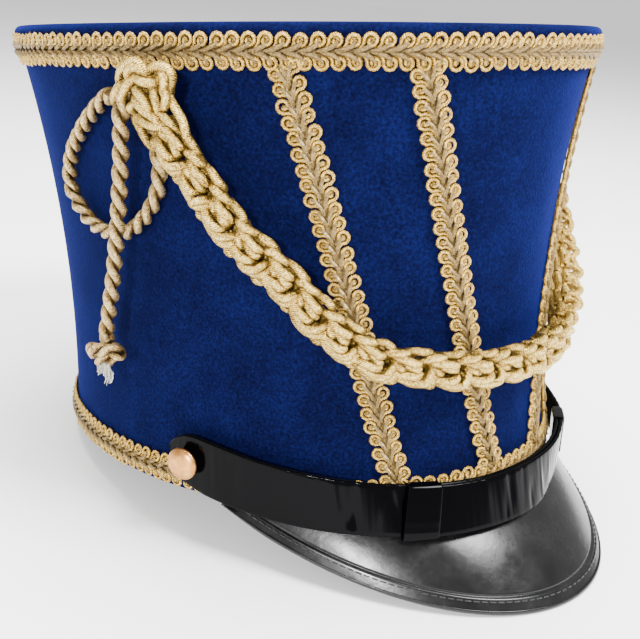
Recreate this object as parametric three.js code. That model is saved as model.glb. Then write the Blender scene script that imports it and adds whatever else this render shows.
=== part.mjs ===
// A flared parade shako: a stiff velvet-covered crown, open below, with gimp braid round the top and the
// rim and in two nested V shapes down the front, a stitched peak, a patent chin strap laid over the peak,
// and a plaited swag of cord hung between two knots, one with a loop and a knotted tail.
// Millimetres, +Z up, wearer's front towards -Y. The hat rests on its peak and the back of its rim.
import * as THREE from 'three';

// ---------------------------------------------------------------- driving dimensions
const RIM = { x: 82, y: 103 };                 // outer half-axes of the crown at its rim
const TOP = { x: 93.7, y: 110.8 };             // and at its top
const HEIGHT = 146.8;                           // rim to top, along the crown
const WAIST = 1.4;                             // how far the side draws in before it flares
const LEAN = 3.5;                              // the top sits this far forward of the rim
const TOP_SLOPE = 0.03;                        // the top falls towards the front by this slope
const WALL = 2.5;                              // board and velvet
const CAP = { skirt: 6, corner: 2.2, dome: 1.5, land: 4, step: 0.5, bevel: 1 };
const GAP = 0.3;                               // clearance between pieces that touch
const BRAID = { width: 10.5, thick: 1.7, edgeThick: 1.3, belowTop: 2.3, aboveRim: 0.8 };
const STRIPES = [                              // braid down the front: centre angle at the top and the rim
  { name: 'front_braid_outer_right', top: -51.5, rim: -29 },
  { name: 'front_braid_inner_right', top: -29.7, rim: -5.9 },
  { name: 'front_braid_inner_left', top: 33, rim: 9.2 },
  { name: 'front_braid_outer_left', top: 51.5, rim: 29 },
];
const PEAK = {
  reach: 39.5, halfAngle: 65, ahead: 0.75, slope: 47.5, sideSlope: 74, thick: 1.8, drop: 0.5,
  tuck: 1.2,                                   // how far its root goes in under the crown's rim
  lap: 1,                                      // its slope starts this far out from the rim
  bulge: 1.5,                                  // how far it bows up between rim and edge, ahead
  taper: 0.975,                                // share of a quarter turn over which the reach falls away
};
const BINDING = { width: 4.6, thick: 1, bead: 1, round: 0.5, groove: 0.4, seat: 0.33 };
const STRAP = { thick: 1.3, tip: 75, overlap: 28.5 };
const STRAP_ROWS = [                           // from the left button round the front to the right one
  { angle: 75, height: 12.3, width: 9, standOff: 3.6, lean: 0 },
  { angle: 73.6, height: 12.4, width: 14, standOff: 3.6, lean: 0 },
  { angle: 71, height: 12.4, width: 17.5, standOff: 3.7, lean: 0.2 },
  { angle: 67, height: 11, width: 19, standOff: 4, lean: 0.6 },
  { angle: 57, height: 6.6, width: 17.7, standOff: 4.2, lean: 0.8 },
  { angle: 42, height: 3.6, width: 15.6, standOff: 4.6, lean: 0.9 },
  { angle: 30, height: 3.7, width: 14.2, standOff: 4.9, lean: 0 },
  { angle: 20, height: 3.8, width: 13.6, standOff: 5.3, lean: -1.2 },
  { angle: 10, height: 2.5, width: 14.4, standOff: 6.3, lean: -0.4 },
  { angle: 0, height: 1.6, width: 15, standOff: 7.5, lean: 2.8 },
  { angle: -14, height: 1.6, width: 15.1, standOff: 7.7, lean: 3.4 },
  { angle: -31, height: 2.8, width: 15.8, standOff: 7.1, lean: 3.4 },
  { angle: -45, height: 4.9, width: 17, standOff: 5.9, lean: 2.5 },
  { angle: -57, height: 7.6, width: 18.2, standOff: 4.6, lean: 1.4 },
  { angle: -67, height: 11, width: 19, standOff: 4, lean: 0.6 },
  { angle: -71, height: 12.4, width: 17.5, standOff: 3.7, lean: 0.2 },
  { angle: -73.6, height: 12.4, width: 14, standOff: 3.6, lean: 0 },
  { angle: -75, height: 12.3, width: 9, standOff: 3.6, lean: 0 },
];
const KEEPER = { angle: 27, length: 10, thick: 0.5, clear: 0.3, slant: 0.8 };
const BUTTON = { angle: 71, height: 12.6, radius: 5.4, dome: 3.2, edge: 1.1 };
const KNOT = { angle: 70.9, height: 130.6, standOff: 8, along: 10, up: 8, out: 5.4 };
const SWAG_THICK = 10.4;
const SWAG_ROWS = [                            // half of the swag, from under a knot to the middle of the front
  { angle: 68.5, height: 119.6, standOff: 8.4 },
  { angle: 66.4, height: 115.1, standOff: 8.9 },
  { angle: 64.4, height: 108.9, standOff: 9.4 },
  { angle: 61.7, height: 102.2, standOff: 10.1 },
  { angle: 59.7, height: 96.1, standOff: 10.5 },
  { angle: 56.3, height: 88.4, standOff: 10.8 },
  { angle: 52.8, height: 82.3, standOff: 11 },
  { angle: 49.6, height: 76.6, standOff: 10.8 },
  { angle: 45.3, height: 66.9, standOff: 10.5 },
  { angle: 41, height: 59.8, standOff: 10.1 },
  { angle: 35.1, height: 53, standOff: 9.5 },
  { angle: 27.7, height: 49.6, standOff: 8.7 },
  { angle: 19.4, height: 47.2, standOff: 8 },
  { angle: 10, height: 46, standOff: 7.6 },
];
const SWAG_MIDDLE = { angle: 0, height: 45.7, standOff: 7.6 };
const CORD_THICK = 5.4;
const LOOP_ROWS = [                            // cord loop, round the right side from the knot and back
  { angle: -78.5, height: 127.6, standOff: 4.4 },
  { angle: -80.6, height: 126, standOff: 4 },
  { angle: -84.3, height: 122.2, standOff: 3.6 },
  { angle: -89, height: 116.4, standOff: 3.3 },
  { angle: -94.1, height: 108.8, standOff: 3.2 },
  { angle: -97.3, height: 100.7, standOff: 3.2 },
  { angle: -97.7, height: 95, standOff: 3.2 },
  { angle: -95.6, height: 90, standOff: 3.2 },
  { angle: -91.4, height: 85.2, standOff: 3.2 },
  { angle: -85.6, height: 83.6, standOff: 3.2 },
  { angle: -80.4, height: 86.2, standOff: 3.2 },
  { angle: -76, height: 92.4, standOff: 3.2 },
  { angle: -73.2, height: 99.6, standOff: 3.1 },
  { angle: -72.1, height: 106.5, standOff: 3.1 },
  { angle: -72, height: 113, standOff: 3.2 },
  { angle: -72.8, height: 119, standOff: 4 },
  { angle: -73.2, height: 122.2, standOff: 5.4 },
];
const TAIL_ROWS = [                            // cord tail, hanging almost plumb in front of the loop
  { angle: -74.9, height: 122.2, standOff: 9.6 },
  { angle: -75.6, height: 116, standOff: 9.8 },
  { angle: -76.3, height: 110, standOff: 10 },
  { angle: -77.2, height: 103, standOff: 10.3 },
  { angle: -78.1, height: 96, standOff: 10.7 },
  { angle: -79, height: 89, standOff: 11.1 },
  { angle: -80, height: 82, standOff: 11.4 },
  { angle: -81, height: 75, standOff: 11.6 },
  { angle: -82.1, height: 68, standOff: 11.8 },
  { angle: -83.4, height: 61, standOff: 11.9 },
  { angle: -84.6, height: 54, standOff: 12 },
  { angle: -85, height: 50.9, standOff: 12 },
];
const END_KNOT = { angle: -85.3, height: 46.4, standOff: 12, along: 7, up: 4.2, out: 4.2 };
const FRAY = { length: 7.5, top: 3, bottom: 3.4, gap: 0.4 };
const REST = { tilt: 7.56, raise: 13.25, back: 3.89 };
const ROUND_STEPS = 72;                        // steps round the crown
const SIDE_STEPS = 8;                          // up its side
const FRONT_STEPS = 12;                        // along a front braid
const STRAP_STEPS = 48;                        // along a strap
const PEAK_STEPS = 20;                         // along half of the peak

// ---------------------------------------------------------------- the crown's surface
const radians = THREE.MathUtils.degToRad;

function flare(height) {
  const t = height / HEIGHT;
  return t * ((1 + WAIST) * t - WAIST);
}

// A point at an angle round from the front (left is positive), up the side, and out from its surface.
function crownPoint(angle, height, standOff) {
  const grow = flare(height);
  const halfX = RIM.x + (TOP.x - RIM.x) * grow + standOff;
  const halfY = RIM.y + (TOP.y - RIM.y) * grow + standOff;
  const x = halfX * Math.sin(radians(angle));
  const y = -halfY * Math.cos(radians(angle)) - LEAN * grow;
  return new THREE.Vector3(x, y, height + TOP_SLOPE * (height / HEIGHT) * y);
}

function rowPoint(row) {
  return crownPoint(row.angle, row.height, row.standOff);
}

// Half the angle, in degrees, that a width takes up on the crown's surface.
function halfAngle(width, angle, height) {
  const radius = crownPoint(angle, height, 0).setZ(0).length();
  return THREE.MathUtils.radToDeg(width / 2 / radius);
}

// Outward direction of the crown at an angle, in plan.
function outward(angle) {
  const along = crownPoint(angle + 0.1, 0, 0).sub(crownPoint(angle - 0.1, 0, 0)).normalize();
  return new THREE.Vector3(along.y, -along.x, 0);
}

// A smooth value between the rows of a table at an angle; the rows run from large angles to small.
function between(rows, angle, column) {
  let i = 0;
  while (i < rows.length - 2 && rows[i + 1].angle > angle) {
    i += 1;
  }
  const [before, start] = [rows[Math.max(i - 1, 0)], rows[i]];
  const [end, after] = [rows[i + 1], rows[Math.min(i + 2, rows.length - 1)]];
  const span = end.angle - start.angle;
  const t = THREE.MathUtils.clamp((angle - start.angle) / span, 0, 1);
  const slopeStart = (end[column] - before[column]) / (end.angle - before.angle) * span;
  const slopeEnd = (after[column] - start[column]) / (after.angle - start.angle) * span;
  const [t2, t3] = [t * t, t * t * t];
  return (2 * t3 - 3 * t2 + 1) * start[column] + (t3 - 2 * t2 + t) * slopeStart
    + (3 * t2 - 2 * t3) * end[column] + (t3 - t2) * slopeEnd;
}

// ---------------------------------------------------------------- solids from sections
// Skins a row of sections, each a ring of points that goes out along one face and back along the other.
function loft(sections, closed) {
  const places = [];
  const found = new Map();
  const triangles = [];
  const place = (point) => {
    const key = point.toArray().map((value) => Math.round(value * 1e4)).join();
    if (!found.has(key)) {
      found.set(key, places.length);
      places.push(point.clone());
    }
    return found.get(key);
  };
  const quad = (a, b, c, d) => {
    for (const corners of [[a, b, c], [a, c, d]]) {
      const [i, j, k] = corners.map(place);
      if (i !== j && j !== k && k !== i) {
        triangles.push(i, j, k);
      }
    }
  };
  const count = sections[0].length;
  const last = closed ? sections.length : sections.length - 1;
  for (let s = 0; s < last; s += 1) {
    const [here, next] = [sections[s], sections[(s + 1) % sections.length]];
    for (let i = 0; i < count; i += 1) {
      const j = (i + 1) % count;
      quad(here[i], here[j], next[j], next[i]);
    }
  }
  if (!closed) {
    const [first, end] = [sections[0], sections[sections.length - 1]];
    for (let i = 0; i + 1 < count / 2; i += 1) {
      const j = count - 1 - i;
      quad(first[i + 1], first[i], first[j], first[j - 1]);
      quad(end[i], end[i + 1], end[j - 1], end[j]);
    }
  }
  return facingOut(places, triangles);
}

// Turns every face over when the solid's signed volume says that they point inwards.
function facingOut(places, triangles) {
  let volume = 0;
  for (let t = 0; t < triangles.length; t += 3) {
    const [a, b, c] = [0, 1, 2].map((n) => places[triangles[t + n]]);
    volume += a.dot(b.clone().cross(c));
  }
  const order = volume < 0 ? triangles.slice().reverse() : triangles;
  const geometry = new THREE.BufferGeometry();
  geometry.setAttribute('position', new THREE.Float32BufferAttribute(places.flatMap((p) => p.toArray()), 3));
  geometry.setIndex(order);
  geometry.computeVertexNormals();
  return geometry;
}

function range(count) {
  return Array.from({ length: count }, (unused, i) => i);
}

const ROUND = range(ROUND_STEPS).map((i) => (360 * i) / ROUND_STEPS);

// Lifts a point of a soft piece that would go below the surface that the hat rests on.
function flattened(point) {
  const turn = radians(REST.tilt);
  const above = point.z * Math.cos(turn) - point.y * Math.sin(turn) + REST.raise;
  return above < 0 ? point.clone().setZ(point.z - above / Math.cos(turn)) : point;
}

// ---------------------------------------------------------------- pieces
function crownSide() {
  const top = HEIGHT - CAP.skirt - GAP;
  const heights = range(SIDE_STEPS + 1).map((i) => (top * i) / SIDE_STEPS);
  return loft(ROUND.map((angle) => [
    ...heights.map((height) => flattened(crownPoint(angle, height, 0))),
    ...heights.slice().reverse().map((height) => flattened(crownPoint(angle, height, -WALL))),
  ]), true);
}

// The velvet-covered top: a shallow lid with a rounded corner, its skirt's edge under the top braid. Its
// board is flat underneath and bevelled up at the margin, where it meets the narrowing side.
function crownTop() {
  const centre = crownPoint(0, HEIGHT, 0).add(crownPoint(180, HEIGHT, 0)).multiplyScalar(0.5);
  const onTop = (angle, share, inset, rise) => {
    const edge = crownPoint(angle, HEIGHT, -inset);
    return centre.clone().lerp(edge, share).add(new THREE.Vector3(0, 0, rise));
  };
  return loft(ROUND.map((angle) => [
    crownPoint(angle, HEIGHT - CAP.skirt, 0),
    crownPoint(angle, HEIGHT - CAP.corner, 0),
    onTop(angle, 1, CAP.corner * 0.3, -CAP.corner * 0.3),
    onTop(angle, 1, CAP.corner, 0),
    onTop(angle, 0.6, CAP.corner, CAP.dome * 0.64),
    onTop(angle, 0, CAP.corner, CAP.dome),
    onTop(angle, 0, CAP.corner + CAP.land, -WALL),
    onTop(angle, 1, CAP.corner + CAP.land, -WALL),
    onTop(angle, 1, CAP.corner + CAP.bevel, CAP.step - WALL),
    crownPoint(angle, HEIGHT - CAP.skirt, -WALL),
  ]), true);
}

// A flat braid between two edges, slightly thicker along its middle.
function braidSection(edge, otherEdge, middle) {
  const [inner, outer, edgeOuter] = [GAP, GAP + BRAID.thick, GAP + BRAID.edgeThick];
  return [
    flattened(edge(edgeOuter)),
    flattened(middle(outer)),
    flattened(otherEdge(edgeOuter)),
    flattened(otherEdge(inner)),
    flattened(middle(inner)),
    flattened(edge(inner)),
  ];
}

function roundBraid(low) {
  const at = (angle, share) => (standOff) => crownPoint(angle, low + BRAID.width * share, standOff);
  return loft(ROUND.map((angle) => braidSection(at(angle, 0), at(angle, 1), at(angle, 0.5))), true);
}

function frontBraid(stripe) {
  const low = BRAID.aboveRim + BRAID.width + GAP;
  const high = HEIGHT - BRAID.belowTop - BRAID.width - GAP;
  return loft(range(FRONT_STEPS + 1).map((i) => {
    const height = low + ((high - low) * i) / FRONT_STEPS;
    const centre = stripe.rim + ((stripe.top - stripe.rim) * height) / HEIGHT;
    const half = halfAngle(BRAID.width, centre, height);
    const at = (side) => (standOff) => crownPoint(centre + side * half, height, standOff);
    return braidSection(at(-1), at(1), at(0));
  }), false);
}

// The way the peak leaves the rim, in plan: partly straight ahead and partly square to the crown.
function peakHeading(angle) {
  const heading = outward(angle).multiplyScalar(1 - PEAK.ahead);
  heading.y -= PEAK.ahead;
  return heading;
}

// A point on the peak's upper face: its share of the half angle, and from 0 at the rim to 1 at the edge.
function peakPoint(share, across) {
  const angle = share * PEAK.halfAngle;
  const reach = PEAK.reach * Math.cos((share * Math.PI) / 2 * PEAK.taper);
  const slope = radians(PEAK.slope + (PEAK.sideSlope - PEAK.slope) * share * share);
  const heading = peakHeading(angle);
  const root = crownPoint(angle, 0, -PEAK.tuck);
  root.z = -PEAK.drop;
  const edge = crownPoint(angle, 0, PEAK.lap).addScaledVector(heading, reach * Math.cos(slope));
  edge.z = -PEAK.drop - reach * Math.sin(slope);
  const crowned = PEAK.bulge * Math.cos((share * Math.PI) / 2) * Math.sin(Math.PI * across);
  return root.lerp(edge, across).addScaledVector(peakLift(angle, slope), crowned);
}

// The direction square to the peak's slope, in which it bows.
function peakLift(angle, slope) {
  return peakHeading(angle).normalize().multiplyScalar(Math.sin(slope)).setZ(Math.cos(slope));
}

// The sheet's own upward side at a place on it, found from its two directions.
function peakNormal(share, across) {
  const step = 0.01;
  const along = peakPoint(share + step, across).sub(peakPoint(share - step, across));
  const out = peakPoint(share, across + step).sub(peakPoint(share, across - step));
  return out.cross(along).normalize();
}

function peakPlace(share, across, below) {
  return flattened(peakPoint(share, across).addScaledVector(peakNormal(share, across), -below));
}

const PEAK_SHARES = range(2 * PEAK_STEPS + 1).map((i) => i / PEAK_STEPS - 1);

function peak() {
  const across = range(6).map((i) => i / 5);
  return loft(PEAK_SHARES.map((share) => [
    ...across.map((a) => peakPlace(share, a, 0)),
    ...across.slice().reverse().map((a) => peakPlace(share, a, PEAK.thick)),
  ]), false);
}

// A folded strip over the peak's edge, open towards the rim, with a rolled lip.
function peakBinding() {
  return loft(PEAK_SHARES.map((share) => {
    const reach = peakPoint(share, 1).distanceTo(peakPoint(share, 0));
    const at = (beyond, above) => peakPlace(share, 1 + beyond / reach, -above);
    const grip = -Math.min(BINDING.width, reach * 0.5);
    const [over, under] = [GAP + BINDING.thick, -PEAK.thick - GAP - BINDING.thick];
    const [middle, half] = [-PEAK.thick / 2, BINDING.groove / 2];
    const lip = GAP + BINDING.bead;
    return [
      at(grip, over), at(GAP, over), at(lip, over - BINDING.round),
      at(lip, under + BINDING.round), at(GAP, under), at(grip, under),
      at(grip, -PEAK.thick - GAP), at(GAP, -PEAK.thick - GAP), at(BINDING.seat, middle - half),
      at(BINDING.seat, middle + half), at(GAP, GAP), at(grip, GAP),
    ];
  }), false);
}

// A point on the strap's middle surface, up across its width and out from it.
function strapPoint(angle, across, out) {
  const width = between(STRAP_ROWS, angle, 'width');
  const height = between(STRAP_ROWS, angle, 'height') + (width / 2) * across;
  const standOff = between(STRAP_ROWS, angle, 'standOff') - (between(STRAP_ROWS, angle, 'lean') / 2) * across;
  return crownPoint(angle, 0, standOff + out).setZ(height);
}

function strap(from, to, inner) {
  const outer = inner + STRAP.thick;
  return loft(range(STRAP_STEPS + 1).map((i) => {
    const angle = from + ((to - from) * i) / STRAP_STEPS;
    return [
      strapPoint(angle, 1, outer), strapPoint(angle, 0, outer), strapPoint(angle, -1, outer),
      strapPoint(angle, -1, inner), strapPoint(angle, 0, inner), strapPoint(angle, 1, inner),
    ];
  }), false);
}

// A sleeve round both layers of the strap: an outer ring with a slot through it, slanting to the front.
function keeper(angle) {
  const reach = STRAP.thick + GAP / 2 + KEEPER.clear;
  const half = halfAngle(KEEPER.length, angle, 0);
  const width = between(STRAP_ROWS, angle, 'width');
  const lead = Math.sign(angle) * KEEPER.slant;
  const [slot, edge] = [1 + (2 * KEEPER.clear) / width, 1 + (2 * (KEEPER.clear + KEEPER.thick)) / width];
  const corners = [[-1, -1], [1, -1], [1, 1], [-1, 1]];
  return loft(corners.map(([across, out]) => [
    strapPoint(angle - half - lead * across, across * edge, out * (reach + KEEPER.thick)),
    strapPoint(angle + half - lead * across, across * edge, out * (reach + KEEPER.thick)),
    strapPoint(angle + half - lead * across, across * slot, out * reach),
    strapPoint(angle - half - lead * across, across * slot, out * reach),
  ]), true);
}

// A domed button turned about its own axis, which points out from the crown.
function button(side) {
  const at = (share, height) => new THREE.Vector2(BUTTON.radius * share, height);
  const profile = [
    at(0, 0), at(0.8, 0), at(1, BUTTON.edge), at(0.8, BUTTON.dome * 0.74), at(0.45, BUTTON.dome * 0.95),
    at(0, BUTTON.dome),
  ];
  const geometry = new THREE.LatheGeometry(profile, 24);
  const angle = side * BUTTON.angle;
  const out = outward(angle);
  geometry.applyQuaternion(new THREE.Quaternion().setFromUnitVectors(new THREE.Vector3(0, 1, 0), out));
  const seat = strapPoint(angle, 0, STRAP.thick + GAP * 2).setZ(BUTTON.height);
  return geometry.translate(seat.x, seat.y, seat.z);
}

// A bundle of knotted cord as a rounded lump against the crown.
function knot(size) {
  const geometry = new THREE.SphereGeometry(1, 20, 12);
  geometry.scale(size.along, size.out, size.up);
  geometry.rotateZ(Math.atan2(outward(size.angle).y, outward(size.angle).x) + Math.PI / 2);
  const centre = rowPoint(size);
  return geometry.translate(centre.x, centre.y, centre.z);
}

function cord(points, thick, sides, steps) {
  const path = new THREE.CatmullRomCurve3(points);
  const outline = range(sides).map((i) => {
    const turn = (2 * Math.PI * i) / sides;
    return new THREE.Vector2(Math.cos(turn), Math.sin(turn)).multiplyScalar(thick / 2);
  });
  return new THREE.ExtrudeGeometry(new THREE.Shape(outline), { steps, extrudePath: path });
}

function swag() {
  const left = SWAG_ROWS.map(rowPoint);
  const right = SWAG_ROWS.map((row) => rowPoint({ ...row, angle: -row.angle }));
  return cord([...right, rowPoint(SWAG_MIDDLE), ...left.reverse()], SWAG_THICK, 10, 46);
}

// The teased-out ends of the tail, spreading downwards under its knot.
function frayedEnd() {
  const centre = rowPoint(END_KNOT);
  const height = -END_KNOT.up - FRAY.gap;
  const profile = [
    new THREE.Vector2(0, height - FRAY.length), new THREE.Vector2(FRAY.bottom, height - FRAY.length),
    new THREE.Vector2(FRAY.top, height), new THREE.Vector2(0, height),
  ];
  const geometry = new THREE.LatheGeometry(profile, 10);
  geometry.rotateX(Math.PI / 2);
  return geometry.translate(centre.x, centre.y, centre.z);
}

// ---------------------------------------------------------------- finishes
const FINISH = {
  velvet: { color: 0x12297a, roughness: 0.95 },
  braid: { color: 0xe3c98a, roughness: 0.7 },
  cord: { color: 0xe2cf98, roughness: 0.6 },
  peak: { color: 0x2a2a2b, roughness: 0.4 },
  patent: { color: 0x151515, roughness: 0.18 },
  button: { color: 0xe5c7a4, roughness: 0.35, metalness: 0.8 },
};

const hat = new THREE.Group();

function add(name, geometry, finish) {
  const mesh = new THREE.Mesh(geometry, new THREE.MeshStandardMaterial(FINISH[finish]));
  mesh.name = name;
  hat.add(mesh);
}

add('crown_side', crownSide(), 'velvet');
add('crown_top', crownTop(), 'velvet');
add('top_braid', roundBraid(HEIGHT - BRAID.belowTop - BRAID.width), 'braid');
add('rim_braid', roundBraid(BRAID.aboveRim), 'braid');
for (const stripe of STRIPES) {
  add(stripe.name, frontBraid(stripe), 'braid');
}
add('peak', peak(), 'peak');
add('peak_binding', peakBinding(), 'peak');
add('chin_strap_right', strap(-STRAP.tip, STRAP.overlap, -STRAP.thick - GAP / 2), 'patent');
add('chin_strap_left', strap(-STRAP.overlap, STRAP.tip, GAP / 2), 'patent');
for (const [side, word] of [[-1, 'right'], [1, 'left']]) {
  add(`strap_keeper_${word}`, keeper(side * KEEPER.angle), 'patent');
  add(`button_${word}`, button(side), 'button');
  add(`knot_${word}`, knot({ ...KNOT, angle: side * KNOT.angle }), 'cord');
}
add('swag', swag(), 'cord');
add('cord_loop', cord(LOOP_ROWS.map(rowPoint), CORD_THICK, 8, 30), 'cord');
add('cord_tail', cord(TAIL_ROWS.map(rowPoint), CORD_THICK, 8, 12), 'cord');
add('tail_knot', knot(END_KNOT), 'cord');
add('tail_fray', frayedEnd(), 'cord');

hat.rotation.x = -radians(REST.tilt);
hat.position.set(0, REST.back, REST.raise);

const shako = new THREE.Group();
shako.add(hat);
shako.updateMatrixWorld(true);

export default shako;
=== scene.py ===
# %% [markdown]
# # A parade shako
# The hat is a stiff flared tube covered in blue velvet, trimmed with gimp braid, with a peak, a patent
# chin strap and a plaited swag of cord. The frame holds every part at its real place and size. This
# lesson gives each of them its true surface, in metres, with +Z up and the wearer's front towards -Y.

# %% Load the frame
import math

import bpy
import numpy as np
from mathutils import Matrix, Vector


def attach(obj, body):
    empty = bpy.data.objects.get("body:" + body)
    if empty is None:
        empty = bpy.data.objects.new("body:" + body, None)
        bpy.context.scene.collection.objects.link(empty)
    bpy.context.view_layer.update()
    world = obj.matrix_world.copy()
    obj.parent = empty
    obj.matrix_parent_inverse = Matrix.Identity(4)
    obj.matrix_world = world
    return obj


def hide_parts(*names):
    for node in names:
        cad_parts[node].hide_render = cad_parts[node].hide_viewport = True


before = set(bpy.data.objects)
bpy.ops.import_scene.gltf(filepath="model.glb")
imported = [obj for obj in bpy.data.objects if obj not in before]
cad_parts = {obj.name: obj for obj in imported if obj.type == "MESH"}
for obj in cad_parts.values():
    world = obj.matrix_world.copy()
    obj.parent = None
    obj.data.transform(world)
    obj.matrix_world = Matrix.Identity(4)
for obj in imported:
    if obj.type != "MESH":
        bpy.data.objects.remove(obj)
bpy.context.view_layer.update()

MM = 0.001
print("frame holds", len(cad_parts), "nodes")

# %% [markdown]
# ## The camera
# It comes first, with the cords, because it settles what is seen of them. A portrait lens close to the
# hat, at the height of its top, gives the strong perspective of a thing held near the eye.

# %% Camera
CAMERA_AT = Vector((-0.2326, -0.2291, 0.1794))
VIEW_RIGHT = Vector((0.7134, -0.6967, 0.0751))
VIEW_UP = Vector((0.2053, 0.3104, 0.9282))
FOCAL_MM = 50.1


def make_camera():
    """A camera whose axes are the view's right and up directions, and their cross product."""
    right = VIEW_RIGHT.normalized()
    back = right.cross(VIEW_UP).normalized()
    turn = Matrix((right, back.cross(right), back)).transposed().to_4x4()
    data = bpy.data.cameras.new("camera")
    data.lens = FOCAL_MM
    data.clip_start = 0.01
    camera = bpy.data.objects.new("camera", data)
    bpy.context.scene.collection.objects.link(camera)
    camera.matrix_world = Matrix.Translation(CAMERA_AT) @ turn
    bpy.context.scene.camera = camera


make_camera()
print("camera at", tuple(CAMERA_AT))

# %% [markdown]
# ## The crown's surface as a formula
# Everything on this hat sits on the crown, so the crown is written once as a function: give it an angle
# round from the front, a height up the side and a distance out from the surface, and it gives the point.
# The section is an ellipse whose half-axes draw in a little and then flare, as the board is cut to do.
# The crown leans a little forward as it rises, and its top slopes down towards the front.

# %% Crown formula
RIM = (0.082, 0.103)
TOP = (0.0937, 0.1108)
HEIGHT = 0.1468
WAIST = 1.4
LEAN = 0.0035
TOP_SLOPE = 0.03
WALL = 0.0025
REST_TILT = math.radians(7.56)
REST_RAISE = 0.01325
REST_BACK = 0.00389


def crown_point(angle, height, out):
    """Points on the crown: an ellipse whose half-axes grow with the square of the height after drawing in,
    moved out by a distance. Angle in degrees, left positive."""
    angle, height, out = np.broadcast_arrays(angle, height, out)
    share = height / HEIGHT
    grow = share * ((1 + WAIST) * share - WAIST)
    turn = np.radians(angle)
    x = (RIM[0] + (TOP[0] - RIM[0]) * grow + out) * np.sin(turn)
    y = -(RIM[1] + (TOP[1] - RIM[1]) * grow + out) * np.cos(turn) - LEAN * grow
    return np.stack([x, y, height + TOP_SLOPE * share * y], -1)


def settled(points):
    """The hat leaned back about X until its peak and the back of its rim touch the surface, and pressed
    flat where it would pass below it."""
    sine, cosine = math.sin(REST_TILT), math.cos(REST_TILT)
    x, y, z = np.moveaxis(np.asarray(points, float), -1, 0)
    level = -y * sine + z * cosine + REST_RAISE
    return np.stack([x, y * cosine + z * sine + REST_BACK, np.maximum(level, 0)], -1)


def unit(vectors):
    """Vectors divided by their own lengths."""
    return vectors / np.maximum(np.linalg.norm(vectors, axis=-1, keepdims=True), 1e-12)


def crown_out(angle, height):
    """The crown's outward direction: the step from its surface to a point a millimetre out."""
    return unit(crown_point(angle, height, MM) - crown_point(angle, height, 0))


def arc_rate(angle, height):
    """Metres of arc for each degree round the crown at a height."""
    step = crown_point(angle + 0.5, height, 0) - crown_point(angle - 0.5, height, 0)
    return np.linalg.norm(step, axis=-1)


print("rim is", round(2 * RIM[0] / MM), "by", round(2 * RIM[1] / MM), "mm")

# %% [markdown]
# ## Putting a surface into a mesh
# Each piece is worked out as a grid of points. One function turns a grid into faces, joined round where
# it wraps, with a UV map in metres so that weaves and threads can follow the surface at their real size.
# Another makes the mesh: it checks the signed volume of a closed piece and turns its faces over if they
# point inwards. A cord or a strand is a tube, a ring of points carried along a line.

# %% Mesh helpers
# Share of the painted strand shade that darkens flanks; the rest darkens the strands lying under.
FLANK_SHADE_SHARE = 0.55


def grid_faces(rows, columns, wrap_rows, wrap_columns, start=0):
    """Four corners for each cell of a grid, counted on past its edge where it wraps."""
    i = np.arange(rows if wrap_rows else rows - 1)[:, None]
    j = np.arange(columns if wrap_columns else columns - 1)[None, :]
    down, along = (i + 1) % rows, (j + 1) % columns
    cells = np.stack(np.broadcast_arrays(i * columns + j, down * columns + j, down * columns + along,
                                         i * columns + along), -1)
    return cells.reshape(-1, 4) + start


def grid_uv(rows, columns, wrap_rows, wrap_columns, span):
    """A UV for each corner of each cell: its row and column numbers, scaled to the span given in metres."""
    i = np.arange(rows if wrap_rows else rows - 1)[:, None, None]
    j = np.arange(columns if wrap_columns else columns - 1)[None, :, None]
    u = (i + np.array([0, 1, 1, 0])) * span[0] / max(rows - 1, 1)
    v = (j + np.array([0, 0, 1, 1])) * span[1] / max(columns - 1, 1)
    return np.stack(np.broadcast_arrays(u, v), -1).reshape(-1, 2)


def sheet(points, wrap_rows, wrap_columns, span=None):
    """Faces of a grid of points, their UVs where a span is given, and the caps of ends left open."""
    rows, columns = points.shape[:2]
    faces = grid_faces(rows, columns, wrap_rows, wrap_columns)
    uv = grid_uv(rows, columns, wrap_rows, wrap_columns, span) if span else None
    ring = np.arange(columns)
    return faces, uv, [] if wrap_rows else [ring[::-1], (rows - 1) * columns + ring]


def signed_volume(points, faces):
    """Six times the volume inside the faces, each split from its first corner: negative if inside out."""
    a, b, c, d = (points[faces[:, n]] for n in range(4))
    return np.sum(a * np.cross(b, c)) + np.sum(a * np.cross(c, d))


def make_piece(name, points, faces, uv, caps, material, face_material=None, painted_shade=None):
    """A smooth mesh object from points and four-cornered faces, with end caps as many-cornered faces, and
    where it is given, painted shade at each point, darker on flanks and under its neighbours."""
    points = points.reshape(-1, 3)
    flip = signed_volume(points, faces) < 0
    corners = faces[:, ::-1] if flip else faces
    rings = [list(map(int, ring[::-1] if flip else ring)) for ring in caps]
    mesh = bpy.data.meshes.new(name)
    mesh.from_pydata(points.tolist(), [], corners.tolist() + rings)
    if uv is not None:
        layer = mesh.uv_layers.new(name="surface")
        spread = uv.reshape(-1, 4, 2)[:, ::-1] if flip else uv
        flat = np.concatenate([spread.reshape(-1, 2), np.zeros((sum(map(len, rings)), 2))])
        layer.data.foreach_set("uv", flat.astype(np.float32).ravel())
    mesh.polygons.foreach_set("use_smooth", np.ones(len(mesh.polygons), bool))
    for m in material if isinstance(material, (list, tuple)) else [material]:
        mesh.materials.append(m)
    if face_material is not None:
        index = np.zeros(len(mesh.polygons), np.int32)
        index[:len(face_material)] = face_material
        mesh.polygons.foreach_set("material_index", index)
    if painted_shade is not None:
        mesh.attributes.new("painted_shade", "FLOAT", "POINT").data.foreach_set("value", painted_shade.astype(np.float32))
    mesh.validate()
    mesh.update()
    piece = bpy.data.objects.new(name, mesh)
    bpy.context.scene.collection.objects.link(piece)
    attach(piece, "root")
    return piece


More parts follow.
